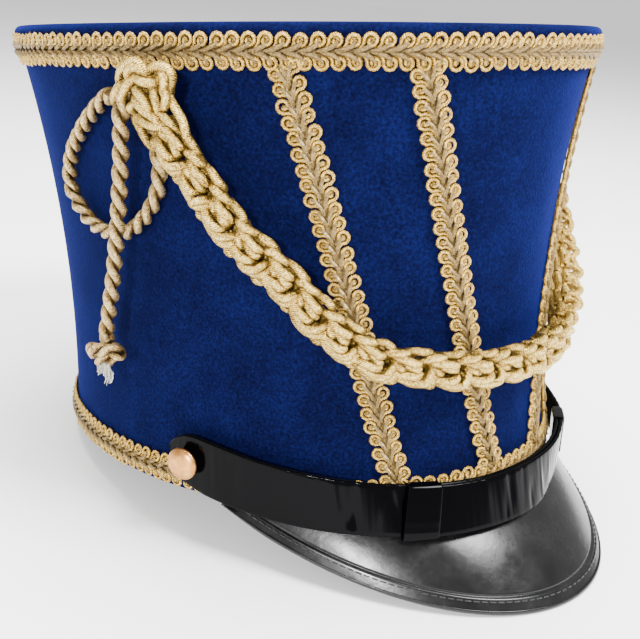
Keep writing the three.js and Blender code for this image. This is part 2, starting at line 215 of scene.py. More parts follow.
def smooth_line(points, count):
    """Evenly spaced points on Catmull-Rom curves through rows of control points [..., n, 3]."""
    points = np.asarray(points, float)
    ends = [2 * points[..., :1, :] - points[..., 1:2, :], 2 * points[..., -1:, :] - points[..., -2:-1, :]]
    p = np.concatenate([ends[0], points, ends[1]], -2)
    at = np.linspace(0, points.shape[-2] - 1, count)
    i = np.minimum(at.astype(int), points.shape[-2] - 2)
    t = (at - i)[:, None]
    a, b, c, d = (p[..., i + n, :] for n in range(4))
    return 0.5 * (2 * b + (c - a) * t + (2 * a - 5 * b + 4 * c - d) * t**2 + (3 * b - a - 3 * c + d) * t**3)


def carried_frames(lines):
    """Tangents and two cross directions along each line [n, k, 3]. The first cross direction is carried
    from step to step by taking out its part along the new tangent, so the tube never spins."""
    tangents = unit(np.gradient(lines, axis=-2))
    start = np.where(np.abs(tangents[..., 0, 2:3]) < 0.8, [[0, 0, 1.0]], [[1.0, 0, 0]])
    sides = [unit(np.cross(tangents[..., 0, :], start))]
    for k in range(1, lines.shape[-2]):
        along = tangents[..., k, :]
        sides.append(unit(sides[-1] - along * np.sum(sides[-1] * along, -1, keepdims=True)))
    side = np.stack(sides, -2)
    return tangents, side, np.cross(tangents, side)


def tube_rings(lines, radius, sides):
    """Rings of points round each line: centre plus radius times the turned cross directions."""
    _, side, lift = carried_frames(lines)
    turn = np.linspace(0, 2 * np.pi, sides, endpoint=False)
    radius = np.broadcast_to(radius, lines.shape[:-1])[..., None, None]
    spread = np.cos(turn)[:, None] * side[..., None, :] + np.sin(turn)[:, None] * lift[..., None, :]
    return lines[..., None, :] + radius * spread


def tubes(lines, radius, sides):
    """Points, faces, UVs and end caps of many tubes at once. The UV runs in metres: along, then round."""
    rings = tube_rings(lines, radius, sides)
    number, steps = lines.shape[:2]
    one = grid_faces(steps, sides, False, True)
    faces = (one[None] + (np.arange(number) * steps * sides)[:, None, None]).reshape(-1, 4)
    length = np.linalg.norm(np.diff(lines, axis=1), axis=-1).sum(1).mean()
    girth = 2 * np.pi * float(np.mean(radius)) * (sides - 1) / sides
    uv = np.tile(grid_uv(steps, sides, False, True, (length, girth)), (number, 1))
    first = np.arange(sides)
    caps = []
    for n in range(number):
        base = n * steps * sides
        caps += [base + first[::-1], base + (steps - 1) * sides + first]
    return rings.reshape(-1, 3), faces, uv, caps


def joined(groups):
    """Several sets of points, faces, UVs and caps as one."""
    points, faces, uvs, caps, base = [], [], [], [], 0
    for p, f, u, c in groups:
        points.append(p)
        faces.append(f + base)
        uvs.append(u)
        caps += [ring + base for ring in c]
        base += len(p)
    return np.concatenate(points), np.concatenate(faces), np.concatenate(uvs), caps


def along_line(line):
    """The length along a line at each of its points."""
    return np.concatenate([[0], np.cumsum(np.linalg.norm(np.diff(line, axis=0), axis=1))])


def painted_strand_shade(points, lines, face, out, high, low, shown=1.0):
    """Painted shade, from 0 on the crests of the outer strands to 1 where a strand lies underneath
    and turns inward, for each point of the tubes round lines on the crown. High and low are where
    the outer and inner ones lie."""
    middle = settled(lines)
    rings = points.reshape(*lines.shape[:-1], -1, 3) - middle[..., None, :]
    outward = unit(settled(lines + face) - middle)[..., None, :]
    flank = 1 - np.clip(np.sum(unit(rings) * outward, -1), 0, 1)
    depth = np.clip((high - out) / (high - low), 0, 1)[..., None]
    return ((FLANK_SHADE_SHARE * flank + (1 - FLANK_SHADE_SHARE) * depth) * np.expand_dims(shown, -1)).ravel()


def line_length(line):
    """The sum of the steps along a line."""
    return float(np.linalg.norm(np.diff(line, axis=0), axis=1).sum())


print("a tube of 9 sides and 15 rings has", len(grid_faces(15, 9, False, True)), "faces")

# %% [markdown]
# ## Materials
# One function turns sRGB hex into linear colour and one adds a shader node with its settings and links.
# One more gives a shader its colour and relief from a level, and the simplest finishes are a single noise.
# Everything else about a finish is written where the finish is made.

# %% Material helpers
def linear(hex_colour):
    """sRGB hex to linear red, green and blue by the standard curve, and full opacity."""
    parts = [int(hex_colour[n:n + 2], 16) / 255 for n in (1, 3, 5)]
    return (*[c / 12.92 if c <= 0.04045 else ((c + 0.055) / 1.055) ** 2.4 for c in parts], 1.0)


def add_node(tree, kind, inputs=None, stops=(), **settings):
    """A shader node of a kind, with its settings, its inputs given as values or as other sockets, and the
    places and colours along it where it is a colour ramp."""
    node = tree.nodes.new(kind)
    for key, value in settings.items():
        setattr(node, key, value)
    for key, value in (inputs or {}).items():
        if isinstance(value, bpy.types.NodeSocket):
            tree.links.new(value, node.inputs[key])
        else:
            node.inputs[key].default_value = value
    for n, (place, colour) in enumerate(stops):
        element = node.color_ramp.elements[n] if n < 2 else node.color_ramp.elements.new(place)
        element.position = place
        element.color = linear(colour)
    return node


def new_material(name, **shader):
    """A material with one Principled shader, its uniform values on the shader's own sockets."""
    material = bpy.data.materials.new(name)
    material.use_nodes = True
    tree = material.node_tree
    bsdf = tree.nodes["Principled BSDF"]
    for key, value in shader.items():
        bsdf.inputs[key.replace("_", " ")].default_value = value
    return material, tree, bsdf


def dress(tree, bsdf, level, stops, height=None, strength=0.0, depth=0.0):
    """The shader's base colour from a level between colour stops, and its relief from a height."""
    colour = add_node(tree, "ShaderNodeValToRGB", {"Fac": level}, stops)
    tree.links.new(colour.outputs["Color"], bsdf.inputs["Base Color"])
    if height is not None:
        bump = add_node(tree, "ShaderNodeBump", {"Height": height, "Strength": strength, "Distance": depth})
        tree.links.new(bump.outputs["Normal"], bsdf.inputs["Normal"])


def mottled(name, noise, stops, relief=(), **shader):
    """A finish whose colour, and relief if it has any, follow one noise in the object's own space."""
    material, tree, bsdf = new_material(name, **shader)
    place = add_node(tree, "ShaderNodeTexCoord").outputs["Object"]
    grain = add_node(tree, "ShaderNodeTexNoise", {"Vector": place, **noise}).outputs["Fac"]
    dress(tree, bsdf, grain, stops, grain if relief else None, *relief)
    return material


print("white is", linear("#ffffff"))

# %% [markdown]
# ### Flocked velvet
# Velvet is a cloth of short upright fibres. Seen along the fibres it is nearly black, and seen across
# them it catches light, so the shader's sheen does most of the work. Fine flecks are fibre tips that lean
# out of line, and the slow mottle is pile pressed by handling.

# %% Velvet
FLECK_MM = 0.9
MOTTLE_MM = 16
FLECK_SHARE = 0.65


def velvet():
    """Royal blue velvet: dark base, blue sheen, flecks and a slow mottle."""
    material, tree, bsdf = new_material("velvet_flocked_pile", Roughness=0.95, Specular_IOR_Level=0.02,
                                        Sheen_Weight=0.2, Sheen_Roughness=0.4,
                                        Sheen_Tint=linear("#3a50d8"))
    place = add_node(tree, "ShaderNodeTexCoord").outputs["Object"]
    fleck = add_node(tree, "ShaderNodeTexNoise", {
        "Vector": place, "Scale": 1 / (FLECK_MM * MM), "Detail": 3}).outputs["Fac"]
    mottle = add_node(tree, "ShaderNodeTexNoise", {
        "Vector": place, "Scale": 1 / (MOTTLE_MM * MM), "Detail": 4, "Roughness": 0.6}).outputs["Fac"]
    slow = add_node(tree, "ShaderNodeMath", {0: mottle, 1: 1 - FLECK_SHARE}, operation="MULTIPLY")
    total = add_node(tree, "ShaderNodeMath", {0: fleck, 1: FLECK_SHARE, 2: slow.outputs[0]},
                     operation="MULTIPLY_ADD")
    stops = [(0.32, "#030317"), (0.68, "#0a103a"), (0.5, "#060928")]
    dress(tree, bsdf, total.outputs[0], stops, fleck, 0.45, 0.0004)
    return material


VELVET = velvet()
# The board's bare inside is black paper-faced fibreboard, dull with a faint mottle.
BOARD = mottled("black_fibreboard", {"Scale": 600, "Detail": 4}, [(0.3, "#131316"), (0.7, "#222226")],
                Roughness=0.85)
print("velvet flecks are", FLECK_MM, "mm and its mottle", MOTTLE_MM, "mm")

# %% [markdown]
# ### Gimp, cord and thread
# Gimp loops are bright rayon cord and the vine between them is a bundle of duller strands. The swag's
# strands are wound round and round with fine metallic thread, which shows as close slanting lines.
# Painted shade darkens the grooves between the turns, a strand's flanks and the strands underneath,
# and painted glints brighten spots along the thread.

# %% Gimp and cord finishes
def wound_cord(name, colours, thread_mm, slant, metallic, grooves=0.5, deep=0.0):
    """Cord wound with thread: slanting lines along the surface's own UV, with painted shade between
    the turns, and spots of other tones from a noise, painted glints where the metal strip would catch
    the light. Colours run dark, middle, light; the dark is painted shade and the light painted highlight.
    Where a piece gives painted shade, it darkens its strands' flanks and the strands lying under."""
    dark, middle, light = colours
    material, tree, bsdf = new_material(name, Roughness=0.34, Metallic=metallic)
    uv = add_node(tree, "ShaderNodeUVMap", uv_map="surface").outputs["UV"]
    parts = add_node(tree, "ShaderNodeSeparateXYZ", {"Vector": uv})
    tilt = add_node(tree, "ShaderNodeMath", {0: parts.outputs["Y"], 1: slant, 2: parts.outputs["X"]},
                    operation="MULTIPLY_ADD")
    phase = add_node(tree, "ShaderNodeMath", {0: tilt.outputs[0], 1: 2 * math.pi / (thread_mm * MM)},
                     operation="MULTIPLY")
    turns = add_node(tree, "ShaderNodeMath", {0: phase.outputs[0]}, operation="SINE")
    height = add_node(tree, "ShaderNodeMapRange", {
        "Value": turns.outputs[0], "From Min": -1.0, "From Max": 1.0}).outputs["Result"]
    place = add_node(tree, "ShaderNodeTexCoord").outputs["Object"]
    noise = add_node(tree, "ShaderNodeTexNoise", {
        "Vector": place, "Scale": 0.8 / (thread_mm * MM), "Detail": 3, "Roughness": 0.7})
    bumps_and_glints = add_node(tree, "ShaderNodeMapRange", {
        "Value": noise.outputs["Fac"], "From Min": 0.3, "From Max": 0.7,
        "To Max": 1 - grooves}).outputs["Result"]
    # Colour level: painted shade in the grooves between turns, plus painted glints from the noise.
    thread = add_node(tree, "ShaderNodeMath", {0: height, 1: grooves, 2: bumps_and_glints}, operation="MULTIPLY_ADD")
    # Painted shade on strands' flanks and on strands lying under, scaled by deep.
    painted_shade = add_node(tree, "ShaderNodeAttribute", attribute_name="painted_shade").outputs["Fac"]
    total = add_node(tree, "ShaderNodeMath", {0: painted_shade, 1: -deep, 2: thread.outputs[0]},
                     operation="MULTIPLY_ADD")
    relief = add_node(tree, "ShaderNodeMath", {0: bumps_and_glints, 1: height})
    stops = [(0.15, dark), (0.85, light), (0.5, middle)]
    dress(tree, bsdf, total.outputs[0], stops, relief.outputs[0], 0.7, 0.00025)
    return material


# Gold metal strip wound on a core, for the swag and its knots, and twisted in plies for loop and tail.
SWAG_CORD = wound_cord("gold_cord_wound_thread", ("#46340e", "#e2b850", "#fff8bc"), thread_mm=0.5,
                       slant=0.5, metallic=0.75, grooves=0.35, deep=0.52)
TWIST_CORD = wound_cord("gold_cord_twisted", ("#3a2810", "#b8924a", "#fff2c4"), thread_mm=0.6,
                        slant=0.9, metallic=0.75, grooves=0.4, deep=0.6)
# Rayon gimp: the loops; their curled ends inside, a darker copy of the loop gold as painted shade in
# the curl; and the vine.
GIMP_LOOP = wound_cord("gimp_loop_rayon", ("#6b4f18", "#efbe4c", "#fff6b0"), thread_mm=0.5,
                       slant=0.4, metallic=0.3, grooves=0.4, deep=0.45)
GIMP_CORE_SHADED = wound_cord("gimp_loop_core_shaded", ("#3a2a0c", "#8c6a28", "#d2aa4c"), thread_mm=0.5,
                       slant=0.4, metallic=0.3)
GIMP_VINE = wound_cord("gimp_vine_strands", ("#3c2c0c", "#a08046", "#e0c284"), thread_mm=0.45,
                       slant=3.0, metallic=0.3, grooves=0.5, deep=0.4)
# Silver strands that stick out of the tail's end where the gold has come off.
SILVER_FRAY = wound_cord("frayed_metallic_strands", ("#6f6858", "#cfc8b6", "#ffffff"), thread_mm=0.4,
                         slant=0.5, metallic=0.5)
# Black polyester thread round the peak.
STITCH = wound_cord("stitch_thread_black", ("#0a0a0a", "#1c1c1c", "#4a4a4a"), thread_mm=0.3,
                    slant=0.5, metallic=0.0)
print("cord finishes:", ", ".join(m.name for m in (SWAG_CORD, TWIST_CORD, GIMP_LOOP, GIMP_VINE, SILVER_FRAY)))

# %% [markdown]
# ### Leathercloth, patent vinyl and the button
# The peak is leathercloth: satin vinyl whose smears blur its highlights here and there. The strap is patent
# vinyl, nearly black with mirror-like reflections that the small wrinkles across it break into streaks.

# %% Peak, strap and button finishes
def leathercloth():
    """Satin black vinyl: a faint pebble and handling smears that change its roughness."""
    material, tree, bsdf = new_material("peak_leathercloth_satin", Specular_IOR_Level=0.31)
    place = add_node(tree, "ShaderNodeTexCoord").outputs["Object"]
    smear = add_node(tree, "ShaderNodeTexNoise", {
        "Vector": place, "Scale": 90, "Detail": 6, "Roughness": 0.7}).outputs["Fac"]
    rough = add_node(tree, "ShaderNodeMapRange", {
        "Value": smear, "From Min": 0.3, "From Max": 0.7, "To Min": 0.17, "To Max": 0.33})
    tree.links.new(rough.outputs["Result"], bsdf.inputs["Roughness"])
    pebble = add_node(tree, "ShaderNodeTexNoise", {
        "Vector": place, "Scale": 450, "Detail": 5, "Roughness": 0.6}).outputs["Fac"]
    dress(tree, bsdf, smear, [(0.3, "#070708"), (0.7, "#0f0f10")], pebble, 0.2, 0.0002)
    return material


def patent_vinyl():
    """Patent vinyl: black and mirror-like, with fine waviness across the strap along its own UV."""
    material, tree, bsdf = new_material("patent_vinyl_lacquered", Roughness=0.12, Specular_IOR_Level=0.05,
                                        Base_Color=linear("#020203"))
    uv = add_node(tree, "ShaderNodeUVMap", uv_map="surface").outputs["UV"]
    stretch = add_node(tree, "ShaderNodeMapping", {"Vector": uv, "Scale": (220, 14, 1)}).outputs["Vector"]
    ripple = add_node(tree, "ShaderNodeTexNoise", {"Vector": stretch, "Scale": 1, "Detail": 2}).outputs["Fac"]
    bump = add_node(tree, "ShaderNodeBump", {"Height": ripple, "Strength": 0.4, "Distance": 0.001})
    tree.links.new(bump.outputs["Normal"], bsdf.inputs["Normal"])
    return material


LEATHERCLOTH = leathercloth()
PATENT = patent_vinyl()
# The vinyl's knitted back is dull black cotton with a fine mottle.
BACKING = mottled("vinyl_backing_cloth", {"Scale": 1500, "Detail": 2}, [(0.3, "#040404"), (0.7, "#0b0b0c")],
                  Roughness=0.95, Specular_IOR_Level=0.05)
# A thin gold wash on brass, brushed satin and slightly worn towards pink.
BUTTON = mottled("button_gold_wash_satin", {"Scale": 500, "Detail": 4}, [(0.3, "#b5763a"), (0.7, "#d49f60")],
                 relief=(0.15, 0.0002), Roughness=0.38, Metallic=1.0)
print("materials:", len(bpy.data.materials))

# %% [markdown]
# ## The free cords
# The swag, the loop and the tail are one family of cord. Their routes are lists of places on the crown:
# an angle in degrees, a height and how far the cord's middle stands off the velvet. The swag hangs from
# two knots and lies on the front, and the tail hangs plumb from the right knot past the loop.

# %% Cord routes
SWAG_HALF = [
    (68.5, 0.1196, 0.0084), (66.4, 0.1151, 0.0089), (64.4, 0.1089, 0.0094), (61.7, 0.1022, 0.0101),
    (59.7, 0.0961, 0.0105), (56.3, 0.0884, 0.0108), (52.8, 0.0823, 0.011), (49.6, 0.0766, 0.0108),
    (45.3, 0.0669, 0.0105), (41, 0.0598, 0.0101), (35.1, 0.053, 0.0095), (27.7, 0.0496, 0.0087),
    (19.4, 0.0472, 0.008), (10, 0.046, 0.0076),
]
SWAG_ROUTE = [(-a, h, o) for a, h, o in SWAG_HALF] + [(0, 0.0457, 0.0076)] + SWAG_HALF[::-1]
LOOP_ROUTE = [
    (-78.5, 0.1276, 0.0044), (-80.6, 0.126, 0.004), (-84.3, 0.1222, 0.0036), (-89, 0.1164, 0.0033),
    (-94.1, 0.1088, 0.0032), (-97.3, 0.1007, 0.0032), (-97.7, 0.095, 0.0032), (-95.6, 0.09, 0.0032),
    (-91.4, 0.0852, 0.0032), (-85.6, 0.0836, 0.0032), (-80.4, 0.0862, 0.0032), (-76, 0.0924, 0.0032),
    (-73.2, 0.0996, 0.0031), (-72.1, 0.1065, 0.0031), (-72, 0.113, 0.0032), (-72.8, 0.119, 0.004),
    (-73.2, 0.1222, 0.0054),
]
TAIL_ROUTE = [
    (-73.6, 0.1295, 0.0076), (-74.3, 0.126, 0.0088), (-74.9, 0.1222, 0.0096), (-75.6, 0.116, 0.0098),
    (-76.3, 0.11, 0.01), (-77.2, 0.103, 0.0103), (-78.1, 0.096, 0.0107), (-79, 0.089, 0.0111),
    (-80, 0.082, 0.0114), (-81, 0.075, 0.0116), (-82.1, 0.068, 0.0118), (-83.4, 0.061, 0.0119),
    (-84.6, 0.054, 0.012), (-85, 0.0509, 0.012),
]


def route_points(route):
    """A route's rows as points on the crown."""
    return crown_point(*np.array(route, float).T)


# %% [markdown]
# ### A twisted cord
# Each ply is a thin tube that winds round the cord's middle line. Two plies laid half a turn apart give
# the wavy outline and the deep slanting grooves of a real twisted cord, which a bumped tube never has.

# %% Twisted cord
PLIES = 2
TWIST_PITCH = 0.0118
PLY_RADIUS = 0.00134
PLY_OFFSET = 0.0012
# Distances from the middle line over which the plies' painted groove shade goes from none to full.
PLY_SHOWN = 0.00225
PLY_HIDDEN = 0.001


def twisted(line):
    """Ply lines: the middle line plus an offset that turns once for each pitch of length."""
    _, side, lift = carried_frames(line[None])
    length = along_line(line)
    turn = 2 * np.pi * (-length[None] / TWIST_PITCH + np.arange(PLIES)[:, None] / PLIES)
    swing = np.cos(turn)[..., None] * side + np.sin(turn)[..., None] * lift
    return line[None] + PLY_OFFSET * swing


def painted_ply_shade(points, line):
    """Painted shade in the groove between the plies at each point of their tubes: 0 on the cord's
    outside and 1 close to its middle line."""
    away = np.linalg.norm(points.reshape(PLIES, len(line), -1, 3) - line[None, :, None], axis=-1)
    return np.clip((PLY_SHOWN - away) / (PLY_SHOWN - PLY_HIDDEN), 0, 1).ravel()


def twisted_cord(name, route, **facts):
    """A cord of plies along a route."""
    line = settled(smooth_line(route_points(route), 150))
    plies = tubes(twisted(line), PLY_RADIUS, 9)
    # The plies carry painted shade in the groove between them.
    piece = make_piece(name, *plies, TWIST_CORD, painted_shade=painted_ply_shade(plies[0], line))
    return piece


# %% [markdown]
# ### The plaited swag
# The swag is worked like a chain: each stitch throws a loop under the lower edge, lays bights across the
# face and locks them with a short one over the upper edge. One stitch is drawn once as strands in
# millimetres (along, up, out) and repeated down the swag's line, which rolls over on the wearer's left.

# %% Swag
STITCHES = 25
STRAND_RADIUS = 0.00128
BACK_RADIUS = 0.0019
STRAND_SIDES = 9
STRAND_ENDS = 0.55
STRAND_WIDTH = 0.86
SWAG_LEAN = math.radians(50)
LEAN_ANGLE = 38
LEAN_SPREAD = 20
ROLL_WIDENS = 0.25
# How much less painted shade the strands carry where the swag has rolled over.
ROLL_SHOWS = 0.9
ROLL_IN = 0.003
STRAND_ARCH = 0.0012
STRAND_STEPS = 15
STITCH_DRAWN = 0.0117
STITCH_BACK = 0.0006
STITCH_VARIES = 0.00024
LINE_ENDS = 0.02
# Where the outer and inner strands lie out, from which the painted shade is worked out.
SWAG_SHADE_DEPTHS = (0.0026, -0.0022)
CHAIN_STRANDS = {
    "upper_arch": [(-1.8, 2.2, -2.2), (-0.9, 3.1, 0.9), (0.9, 4.4, 2.5), (3.2, 5.0, 2.4), (5.4, 4.7, 0.8),
                   (6.8, 4.0, -1.8)],
    "upper_leg": [(0.8, 1.5, -1.6), (2.0, 2.3, 1.5), (5.2, 2.7, 3.2), (7.8, 2.5, 3.1), (9.4, 2.2, 1.4),
                  (10.2, 1.8, -1.6)],
    "inner_leg": [(3.2, 1.4, -1.2), (5.0, 1.1, 1.2), (7.8, 0.3, 2.4), (9.7, 0.0, 1.2), (10.4, -0.1, -1.6)],
    "lower_leg": [(1.6, -2.1, -1.2), (2.9, -2.9, 1.6), (6.1, -2.9, 3.1), (8.9, -2.6, 2.7),
                  (10.1, -2.1, 0.8), (10.5, -1.7, -1.6)],
    "small_bight": [(1.6, 1.1, -1.4), (2.6, 0.4, 0.8), (4.8, -0.6, 1.5), (6.4, -1.6, -0.6)],
    "edge_strand": [(4.8, 4.0, -2.4), (5.9, 4.9, -0.4), (8.0, 5.8, 0.9), (10.6, 5.9, 1.0),
                    (12.6, 4.9, -0.4), (13.2, 3.8, -2.4)],
    "lower_bump": [(0.2, -4.0, -2.4), (1.8, -6.0, -1.1), (3.8, -6.3, -0.8), (5.8, -5.0, -2.2)],
    "back_upper": [(0.6, 3.4, -2.6), (4.0, 2.8, -2.2), (9.4, 3.6, -2.6)],
    "back_middle": [(-1.4, 0.4, -2.8), (4.0, 0.0, -2.4), (10.4, -0.4, -2.8)],
    "back_lower": [(-0.6, -3.4, -2.4), (4.0, -3.2, -1.9), (11.4, -3.4, -2.4)],
    "smile": [(0.6, -3.2, -1.4), (3.4, -4.1, 1.2), (7.0, -4.9, 2.1), (10.0, -4.8, 2.6), (11.8, -3.7, 3.1),
              (12.7, -1.8, 3.0), (13.1, -0.2, 1.8), (13.2, 0.8, -1.2)],
    "smile_below": [(4.0, -5.2, -1.9), (8.0, -6.4, 0.0), (11.0, -6.1, 0.7), (13.2, -4.6, 1.4),
                    (14.3, -2.4, 1.5), (14.6, -0.6, 0.2), (14.4, 0.4, -2.0)],
}


def drawn_out(values, length, reach):
    """Values along a line carried straight on past both its ends, with the length that goes with them."""
    before = values[0] + (values[0] - values[1]) * reach / (length[1] - length[0])
    after = values[-1] + (values[-1] - values[-2]) * reach / (length[-1] - length[-2])
    return (np.concatenate([[before], values, [after]]),
            np.concatenate([[length[0] - reach], length, [length[-1] + reach]]))


def swag_lines():
    """The middle line of the swag, and its strands with their outward directions, how far out they lie and
    how much of their painted shade is kept: each stitch's points set along, up and out from the line.
    On the wearer's left the swag has rolled over, so that its upper edge leans out and its back shows."""
    rows = smooth_line(np.array(SWAG_ROUTE, float), 400)
    line = crown_point(*rows.T)
    out = crown_out(rows[:, 0], rows[:, 1])
    along = unit(np.gradient(line, axis=0))
    out = unit(out - along * np.sum(out * along, -1, keepdims=True))
    up = np.cross(out, along)
    lean = (SWAG_LEAN * np.exp(-(((rows[:, 0] - LEAN_ANGLE) / LEAN_SPREAD) ** 2)))[:, None]
    up, out = up * np.cos(lean) + out * np.sin(lean), out * np.cos(lean) - up * np.sin(lean)
    length = along_line(line)
    stitch = length[-1] / STITCHES
    parts = [drawn_out(part, length, LINE_ENDS) for part in (line, up, out)]
    jitter = np.random.default_rng(7)
    groups = []
    holes = np.arange(STITCHES) * stitch - STITCH_BACK
    arch = STRAND_ARCH * (np.sin(np.linspace(0, np.pi, STRAND_STEPS)) - 0.45)
    for points in CHAIN_STRANDS.values():
        local = np.array(points) * MM * [stitch / STITCH_DRAWN, STRAND_WIDTH, 1]
        moved = local[None] + jitter.normal(0, STITCH_VARIES, (STITCHES, *local.shape))
        local = smooth_line(moved, STRAND_STEPS)
        local[..., 2] += arch
        at = holes[:, None] + local[..., 0]
        middle, lift, face = (np.stack([np.interp(at, reach, part[:, n]) for n in range(3)], -1)
                              for part, reach in parts)
        rolled = np.interp(at, length, lean[:, 0])
        raised = middle + local[..., 1:2] * (1 + ROLL_WIDENS * rolled[..., None]) * lift
        groups.append((raised + (local[..., 2] - ROLL_IN * rolled)[..., None] * face, face, local[..., 2],
                       1 - ROLL_SHOWS * rolled))
    return line, groups


def make_swag():
    """The swag's strands as round tubes, one mesh."""
    line, groups = swag_lines()
    swell = STRAND_ENDS + (1 - STRAND_ENDS) * np.sin(np.linspace(0, np.pi, STRAND_STEPS)) ** 0.6
    radii = [BACK_RADIUS if name.startswith("back") else STRAND_RADIUS for name in CHAIN_STRANDS]
    strands = [tubes(settled(group[0]), radius * swell, STRAND_SIDES) for group, radius in zip(groups, radii)]
    # Painted shade on the strands' flanks and on the strands lying under.
    painted_shade = [painted_strand_shade(strand[0], lines, face, out, *SWAG_SHADE_DEPTHS, shown)
              for strand, (lines, face, out, shown) in zip(strands, groups)]
    piece = make_piece("swag_plait", *joined(strands), SWAG_CORD, painted_shade=np.concatenate(painted_shade))
    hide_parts("swag")


make_swag()
loop = twisted_cord("cord_loop_twisted", LOOP_ROUTE, far_end="object", stiffness="medium", lay="hanging")
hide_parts("cord_loop")

# %% [markdown]
# ### Knots
# The knots are the same cord turned back on itself. Each is a handful of bights drawn in millimetres
# across, up and out from the knot's middle, at the angle and height where the cords gather. The right
# knot has one bight more, where the loop sets out.

# %% Knots
KNOT_PLACE = (70.9, 0.1306, 0.008)
KNOT_STRAND_RADIUS = 0.00132
KNOT_STEPS = 18
# Where the outer and inner bights lie out, from which the painted shade is worked out.
KNOT_SHADE_DEPTHS = (0.002, -0.0012)
KNOT_BIGHTS = [
    [(-6.9, -1.5, -1.6), (-6.7, 0.4, 0.0), (-5.2, 2.9, 1.0), (-2.2, 5.2, 2.0), (0.9, 6.0, 2.5),
     (3.1, 5.0, 2.5), (4.2, 3.3, 1.8), (4.2, 1.6, -0.4)],
    [(-2.6, 0.9, -0.4), (-1.9, 2.3, 2.0), (-0.5, 3.9, 3.2), (1.6, 4.6, 3.5), (3.4, 3.8, 3.0),
     (4.0, 2.4, 1.2)],
    [(0.2, 2.8, 0.6), (0.9, 2.0, 2.6), (3.3, 0.9, 4.1), (5.8, 0.6, 3.9), (6.6, 1.3, 1.8)],
    [(3.2, 2.0, -0.6), (4.6, 3.8, 1.3), (7.2, 4.9, 2.0), (9.5, 4.8, 2.1), (10.9, 3.4, 1.7),
     (10.7, 1.5, 1.2), (9.4, -0.6, 0.6), (8.4, -2.4, -0.6)],
    [(8.2, 3.4, 1.0), (9.2, 2.6, 2.9), (9.6, 0.6, 3.6), (8.6, -0.9, 2.2), (8.0, -1.6, 0.4)],
    [(7.6, -0.8, 0.2), (8.2, -1.4, 2.2), (9.4, -2.9, 3.5), (8.7, -4.9, 3.1), (7.0, -6.2, 1.2)],
    [(0.4, 1.8, 0.8), (-0.9, 1.1, 2.6), (-2.2, -0.6, 3.4), (-4.2, -2.8, 3.0), (-5.8, -4.6, 1.8),
     (-6.2, -5.8, 0.2)],
    [(-0.6, -0.6, 0.4), (0.2, -1.5, 2.6), (2.3, -3.0, 4.0), (3.4, -5.1, 4.0), (3.5, -6.9, 2.8),
     (2.8, -8.0, 0.6)],
    [(-1.9, -3.2, 0.2), (-1.0, -4.3, 2.0), (1.1, -6.3, 3.3), (3.8, -7.9, 3.8), (5.5, -9.2, 3.2),
     (5.2, -10.4, 1.0)],
    [(-0.6, -4.2, 0.0), (-1.9, -5.2, 1.6), (-3.0, -6.4, 2.2), (-3.6, -7.2, 0.6)],
    [(4.2, -0.4, 0.2), (4.9, -1.6, 1.8), (5.8, -3.7, 2.9), (6.0, -6.3, 2.7), (5.5, -8.6, 1.2),
     (5.0, -9.6, -0.6)],
    [(7.6, -1.6, -1.2), (8.6, -3.0, 0.8), (11.0, -6.5, 1.9), (12.6, -9.6, 2.2), (12.8, -12.6, 2.0),
     (12.2, -15.2, 0.4), (11.4, -17.0, -1.6)],
    [(-2.3, -9.0, 0.2), (0.5, -10.4, 2.0), (4.4, -11.2, 2.8), (7.3, -10.6, 1.8), (8.6, -10.2, -0.2)],
    [(-4.4, -7.4, -1.4), (-3.8, -9.6, 0.0), (-2.0, -12.4, 0.8), (-0.8, -15.6, 0.4), (0.4, -18.0, -0.8)],
    [(-6.0, 1.6, -1.6), (-2.0, 2.6, -0.6), (3.0, 1.8, -0.8), (8.0, 2.6, -1.8)],
    [(-5.6, -1.6, -1.8), (-1.0, -0.8, -0.6), (4.0, -1.6, -0.6), (8.4, -0.8, -2.0)],
    [(-3.0, -3.8, -1.8), (1.0, -3.6, -0.6), (5.0, -4.4, -0.8), (8.0, -4.0, -2.2)],
]
LOOP_BIGHT = [(-5.4, 0.6, -0.4), (-6.2, -0.8, 1.4), (-7.6, -2.6, 1.8), (-9.4, -4.4, 0.8), (-11.4, -5.4, -1.4)]


def set_on_crown(place, side, local):
    """Local points set on the crown: across as arc, mirrored on the wearer's left, then up and out."""
    angle, height, out = place
    turn = side * angle - side * local[..., 0] / arc_rate(side * angle, height)
    return crown_point(turn, height + local[..., 1], out + local[..., 2])


def make_knot(name, node, side, bights):
    """A swag knot: its bights as tubes, with painted shade on their flanks and where they lie under others.
    """
    local = np.array([smooth_line(np.array(bight) * MM, KNOT_STEPS) for bight in bights])
    lines = set_on_crown(KNOT_PLACE, side, local)
    face = set_on_crown(KNOT_PLACE, side, local + [0, 0, MM]) - lines
    strands = tubes(settled(lines), KNOT_STRAND_RADIUS, STRAND_SIDES)
    painted_shade = painted_strand_shade(strands[0], lines, face, local[..., 2], *KNOT_SHADE_DEPTHS)
    piece = make_piece(name, *strands, SWAG_CORD, painted_shade=painted_shade)
    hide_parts(node)


make_knot("swag_knot_right", "knot_right", -1, [*KNOT_BIGHTS, LOOP_BIGHT])
make_knot("swag_knot_left", "knot_left", 1, KNOT_BIGHTS)
print("the right knot has", len(KNOT_BIGHTS) + 1, "bights and the left", len(KNOT_BIGHTS))

# %% [markdown]
# ### The tail and its frayed end
# The tail hangs free, ends in an overhand knot and lets its metallic strands fray out below.

